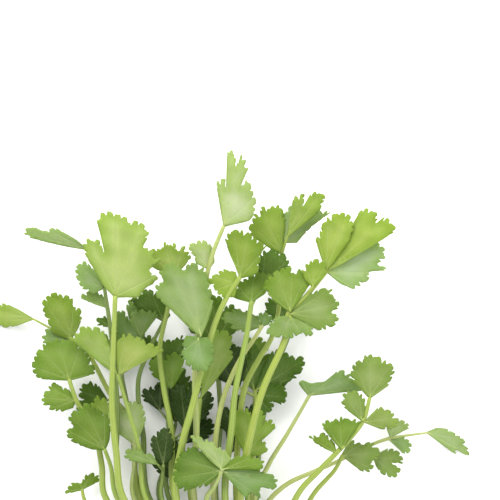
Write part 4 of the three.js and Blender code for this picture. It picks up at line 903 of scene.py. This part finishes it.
def add_stalk(build, stem, points, tint):
    """The main stalk, swollen a little where its side stalks leave it."""
    length = points[-1][1]
    rings = max(FEWEST_STALK_RINGS, int(length / STALK_RING_STEP))
    shares = np.linspace(0, 1, rings + 1)
    centres = np.array([curve_point(points, t) for t in shares])
    run = run_along(centres)
    radii = STALK_FULLNESS * stem.radius * (1 - STALK_TAPER * shares**2)
    for leaf in stem.leaves:
        at = np.interp(path_share(stem, points, leaf.joint), shares, run)
        near = np.exp(-(((run - at) / STALK_NODE_LENGTH) ** 2))
        radii *= 1 + STALK_NODE_SWELL * near / len(stem.leaves)
    add_tube(build, centres, radii, STALK_SIDES, run, tint, 1.0)
    return run[-1]


def add_side_stalk(build, stem, points, leaf, tint, along):
    """The thin stalk from the main one to a leaf, running on as the leaf's midrib."""
    start = curve_point(points, path_share(stem, points, leaf.joint))
    base = np.array(leaf.base)
    aim, lobes = lobes_of(leaf)
    size = max(lobe[1] for lobe in lobes)
    centres, radii = [], []
    gap = np.linalg.norm(base - start)
    rise = 1 if base[2] > start[2] else -1
    if gap > SHORTEST_SIDE_STALK:
        for k in range(SIDE_STALK_RINGS):
            f = k / SIDE_STALK_RINGS
            bow = rise * SIDE_STALK_BOW * gap * math.sin(math.pi * f)
            centres.append(start + (base - start) * f + np.array([0, 0, bow]))
            radii.append(SIDE_STALK_RADIUS + (SIDE_STALK_END_RADIUS - SIDE_STALK_RADIUS) * f)
    for k in range(MIDRIB_RINGS):
        f = k / (MIDRIB_RINGS - 1)
        dx = math.cos(aim) * MIDRIB_LENGTH * size * f
        dy = math.sin(aim) * MIDRIB_LENGTH * size * f
        height = height_at(leaf, dx, dy, size) - VEIN_GROOVE - MIDRIB_SINK * f
        centres.append(base + np.array([dx, dy, height]))
        radii.append(SIDE_STALK_END_RADIUS * (1 - f) + MIDRIB_END_RADIUS * f)
    add_tube(build, centres, radii, SIDE_STALK_SIDES, [along] * len(centres), tint, 0.0)


def piece_from(name, build, node, material):
    """A mesh object with the shared per-vertex values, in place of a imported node."""
    shift = np.array(BOX_CENTRE_SHIFT)
    mesh = bpy.data.meshes.new(name)
    mesh.from_pydata(((np.array(build.points) + shift) * MM).tolist(), [], build.faces)
    values = np.array(build.values)
    for i, key in enumerate(("across", "along", "share", "inset", "under")):
        attribute = mesh.attributes.new(key, "FLOAT", "POINT")
        attribute.data.foreach_set("value", values[:, i].astype(np.float32))
    tint = mesh.attributes.new("tint", "FLOAT_COLOR", "POINT")
    colour = np.c_[values[:, 5:8], np.ones(len(values))].astype(np.float32)
    tint.data.foreach_set("color", colour.ravel())
    mesh.shade_smooth()
    mesh.materials.append(material)
    piece = bpy.data.objects.new(name, mesh)
    bpy.context.scene.collection.objects.link(piece)
    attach(piece, "root")
    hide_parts(node)
    return piece


class Nodes:
    """Short helpers for one material's node tree."""

    def __init__(self, name):
        self.material = bpy.data.materials.new(name)
        self.material.use_nodes = True
        self.tree = self.material.node_tree
        self.shader = self.tree.nodes["Principled BSDF"]

    def put(self, socket, value):
        """Link a socket to an input, or set the input to a plain value."""
        if hasattr(value, "links"):
            self.tree.links.new(value, socket)
        else:
            socket.default_value = value

    def surface(self, settings):
        """Set the shader's own inputs."""
        for key, value in settings.items():
            self.put(self.shader.inputs[key], value)

    def attribute(self, name, output="Fac"):
        """One of the values that the mesh holds at each vertex."""
        node = self.tree.nodes.new("ShaderNodeAttribute")
        node.attribute_name = name
        return node.outputs[output]

    def math(self, operation, *values):
        """The result of one operation on numbers."""
        node = self.tree.nodes.new("ShaderNodeMath")
        node.operation = operation
        for socket, value in zip(node.inputs, values):
            self.put(socket, value)
        return node.outputs[0]

    def fade(self, value, low, high, out_low=0.0, out_high=1.0):
        """A smooth change from one output to the other as the value goes from low to high."""
        node = self.tree.nodes.new("ShaderNodeMapRange")
        node.interpolation_type = "SMOOTHSTEP"
        keys = ("Value", "From Min", "From Max", "To Min", "To Max")
        for key, setting in zip(keys, (value, low, high, out_low, out_high)):
            self.put(node.inputs[key], setting)
        return node.outputs[0]

    def mix(self, factor, a, b, kind="MIX"):
        """Two colours mixed by a factor."""
        node = self.tree.nodes.new("ShaderNodeMix")
        node.data_type = "RGBA"
        node.blend_type = kind
        self.put(node.inputs[0], factor)
        self.put(node.inputs[6], a)
        self.put(node.inputs[7], b)
        return node.outputs[2]

    def over(self, colour, mask, strength, layer):
        """A colour with a layer of another over it where the mask is, at no more than a strength."""
        return self.mix(self.math("MULTIPLY", mask, strength), colour, layer)

    def tinted(self, colour, factors):
        """A colour with its red, green and blue multiplied by factors."""
        return self.mix(1.0, colour, (*factors, 1.0), "MULTIPLY")

    def place(self):
        """Place in the object, in metres."""
        return self.tree.nodes.new("ShaderNodeTexCoord").outputs["Object"]

    def noise(self, scale, detail):
        """Soft noise, with its scale per metre."""
        node = self.tree.nodes.new("ShaderNodeTexNoise")
        node.inputs["Scale"].default_value = scale
        node.inputs["Detail"].default_value = detail
        self.put(node.inputs["Vector"], self.place())
        return node.outputs["Fac"]

    def cells(self, scale):
        """Distance from the sides of a net of cells, with its scale per metre."""
        node = self.tree.nodes.new("ShaderNodeTexVoronoi")
        node.feature = "DISTANCE_TO_EDGE"
        node.inputs["Scale"].default_value = scale
        self.put(node.inputs["Vector"], self.place())
        return node.outputs["Distance"]

    def bump(self, height, distance, strength):
        """Fine relief of the surface."""
        node = self.tree.nodes.new("ShaderNodeBump")
        node.inputs["Distance"].default_value = distance
        node.inputs["Strength"].default_value = strength
        self.put(node.inputs["Height"], height)
        self.put(self.shader.inputs["Normal"], node.outputs[0])


def vein_mask(n, across, along, run):
    """How strongly a vein shows: main veins, side veins and a fine net between them."""
    main_width = n.fade(run, 0.0, 1.0, *MAIN_VEIN_WIDTHS)
    main = n.fade(across, n.math("MULTIPLY", main_width, 0.35), main_width, 1.0, 0.0)
    lead = n.math("SUBTRACT", along, n.math("MULTIPLY", across, SIDE_VEIN_SLANT))
    side = n.fade(n.math("PINGPONG", lead, SIDE_VEIN_PITCH), *SIDE_VEIN_WIDTHS, 1.0, 0.0)
    side = n.math("MULTIPLY", side, n.fade(run, 0.12, 0.3))
    net = n.fade(n.cells(900.0), 0.0, 0.09, 1.0, 0.0)
    veins = n.math("MAXIMUM", main, n.math("MULTIPLY", side, 0.55))
    return n.math("MAXIMUM", veins, n.math("MULTIPLY", net, 0.22))


def leaf_material():
    """Green blade: paler heart and richer margin as painted light shining through it, painted shade between
    the veins and in spots, painted sheen, light veins, paler underside, soft satin shine.
    """
    n = Nodes("coriander_leaf")
    across, along, run, inset, under = (
        n.attribute(name) for name in ("across", "along", "share", "inset", "under")
    )
    tint = n.attribute("tint", "Color")
    veins = vein_mask(n, across, along, run)
    # Random darker spots: partly the leaf's own uneven tone, partly painted shade of its undulating surface
    tone_and_shade_patches = n.fade(n.noise(110.0, 3.0), 0.3, 0.7)
    # Soft noise areas where painted sheen, a pale grey-blue, is laid on the leaf
    sheen_clouds = n.fade(n.noise(52.0, 2.0), 0.42, 0.66)
    grain = n.noise(1500.0, 2.0)
    # Richer margin and paler heart: painted light shining through the blade, strongest away from its edge
    margin = n.fade(inset, *MARGIN_BAND, 1.0, 0.0)
    heart = n.fade(inset, *GLOW_BAND)
    # Painted shade in the pleats between the main veins, away from the base
    between = n.math("MULTIPLY", n.fade(across, *PLEAT_SHADE_BAND), n.fade(run, 0.15, 0.6))
    rich = n.tinted(tint, RICH_TINT)
    painted_sheen = n.mix(0.15, n.tinted(tint, SHEEN_TINT), lit(*SHEEN_COLOUR))
    body = n.over(tint, tone_and_shade_patches, 0.55, rich)
    # Painted sheen
    body = n.over(body, sheen_clouds, 0.55, painted_sheen)
    body = n.over(body, margin, 0.75, rich)
    body = n.over(body, heart, 0.6, n.tinted(tint, GLOW_TINT))
    # Painted pleat shade
    body = n.over(body, between, 0.4, rich)
    body = n.over(body, veins, 0.36, n.mix(0.4, tint, lit(*VEIN_COLOUR)))
    colour = n.mix(under, body, n.mix(0.4, body, lit(*UNDERSIDE_COLOUR)))
    n.surface({
        "Base Color": n.over(colour, grain, 0.12, lit(*GRAIN_COLOUR)),
        "Roughness": n.fade(grain, 0.3, 0.7, 0.36, 0.48),
        "Specular IOR Level": 0.12,
        "Subsurface Weight": 0.25,
        "Subsurface Radius": (0.8, 1.0, 0.25),
        "Subsurface Scale": 0.0012,
    })
    n.bump(n.math("SUBTRACT", n.math("MULTIPLY", grain, 0.2), veins), 0.00016, 0.7)
    return n.material


def stalk_material():
    """Light green stalk with long pale ribs, a paler foot and cut end, and a moist shine."""
    n = Nodes("coriander_stalk")
    around, cut, along = (n.attribute(name) for name in ("across", "along", "share"))
    tint = n.attribute("tint", "Color")
    ribs = n.math("PINGPONG", n.math("MULTIPLY", around, float(STALK_SIDES)), 1.0)
    streak = n.fade(n.noise(260.0, 3.0), 0.35, 0.7)
    foot = n.fade(along, 0.0, PALE_FOOT_LENGTH, 0.55, 0.0)
    colour = n.mix(foot, tint, lit(*FOOT_COLOUR))
    colour = n.over(colour, streak, 0.3, n.tinted(tint, STREAK_TINT))
    colour = n.over(colour, ribs, 0.22, lit(*RIB_COLOUR))
    n.surface({
        "Base Color": n.mix(cut, colour, lit(*CUT_COLOUR)),
        "Roughness": n.fade(n.noise(700.0, 2.0), 0.3, 0.7, 0.3, 0.48),
        "Specular IOR Level": 0.45,
        "Subsurface Weight": 0.3,
        "Subsurface Radius": (0.9, 1.0, 0.3),
        "Subsurface Scale": 0.0016,
    })
    n.bump(n.math("ADD", ribs, n.math("MULTIPLY", streak, 0.4)), 0.00008, 0.5)
    return n.material


def table_material():
    """Matt white table, very slightly mottled."""
    n = Nodes("table_white")
    cloud = n.fade(n.noise(6.0, 2.0), 0.3, 0.7)
    white = n.mix(cloud, *TABLE_COLOURS)
    n.surface({"Base Color": white, "Roughness": 0.8})
    return n.material


def build_bunch():
    """A stalk piece and a blade piece for every leafy stem."""
    leaf_look, stalk_look = leaf_material(), stalk_material()
    cuts, tones = seeded_random(CUT_SEED), seeded_random(TONE_SEED)
    for name, stem in STEMS.items():
        points = stalk_points(stem, next(cuts))
        stalks, blades = Build(), Build()
        tint = shade(stem.tone, next(tones))
        length = add_stalk(stalks, stem, points, tint)
        for leaf in stem.leaves:
            add_side_stalk(stalks, stem, points, leaf, tint, length)
            add_blade(blades, leaf, next(tones))
        for kind, build, look in (("stalks", stalks, stalk_look), ("blades", blades, leaf_look)):
            piece = piece_from(f"{name}_{kind}", build, name, look)


def build_floor():
    """The white table that the bunch lies on."""
    bpy.ops.mesh.primitive_plane_add(size=TABLE_SIZE, location=(0, 0, 0))
    floor = bpy.context.object
    floor.name = "table"
    floor.data.materials.append(table_material())


def area_light(name, place, size, power, colour):
    """One soft light that faces the bunch."""
    data = bpy.data.lights.new(name, "AREA")
    data.size = size
    data.energy = power
    data.color = colour
    light = bpy.data.objects.new(name, data)
    light.location = place
    to_target = Vector(LIT_POINT) - light.location
    light.rotation_euler = to_target.to_track_quat("-Z", "Y").to_euler()
    bpy.context.scene.collection.objects.link(light)


def build_light():
    """A white sky and the soft lights."""
    world = bpy.data.worlds.new("studio")
    world.use_nodes = True
    sky = world.node_tree.nodes["Background"]
    sky.inputs["Color"].default_value = (1.0, 1.0, 1.0, 1)
    sky.inputs["Strength"].default_value = SKY_STRENGTH * LIGHT_GAIN
    bpy.context.scene.world = world
    for name, place, size, power, colour in LIGHTS:
        area_light(name, place, size, power * LIGHT_GAIN, colour)


def build_camera():
    """A long lens straight above the bunch."""
    data = bpy.data.cameras.new("camera")
    data.sensor_width = SENSOR_MM
    data.lens = SENSOR_MM * VIEW_HEIGHT_ABOVE / VIEW_WIDTH
    data.clip_end = VIEW_END
    camera = bpy.data.objects.new("camera", data)
    x = (VIEW_CENTRE_MM[0] + BOX_CENTRE_SHIFT[0]) * MM
    y = (VIEW_CENTRE_MM[1] + BOX_CENTRE_SHIFT[1]) * MM
    camera.location = (x, y, VIEW_PLANE + VIEW_HEIGHT_ABOVE)
    bpy.context.scene.collection.objects.link(camera)
    bpy.context.scene.camera = camera


build_bunch()
build_floor()
build_light()
build_camera()
bpy.context.scene.view_settings.view_transform = "Standard"
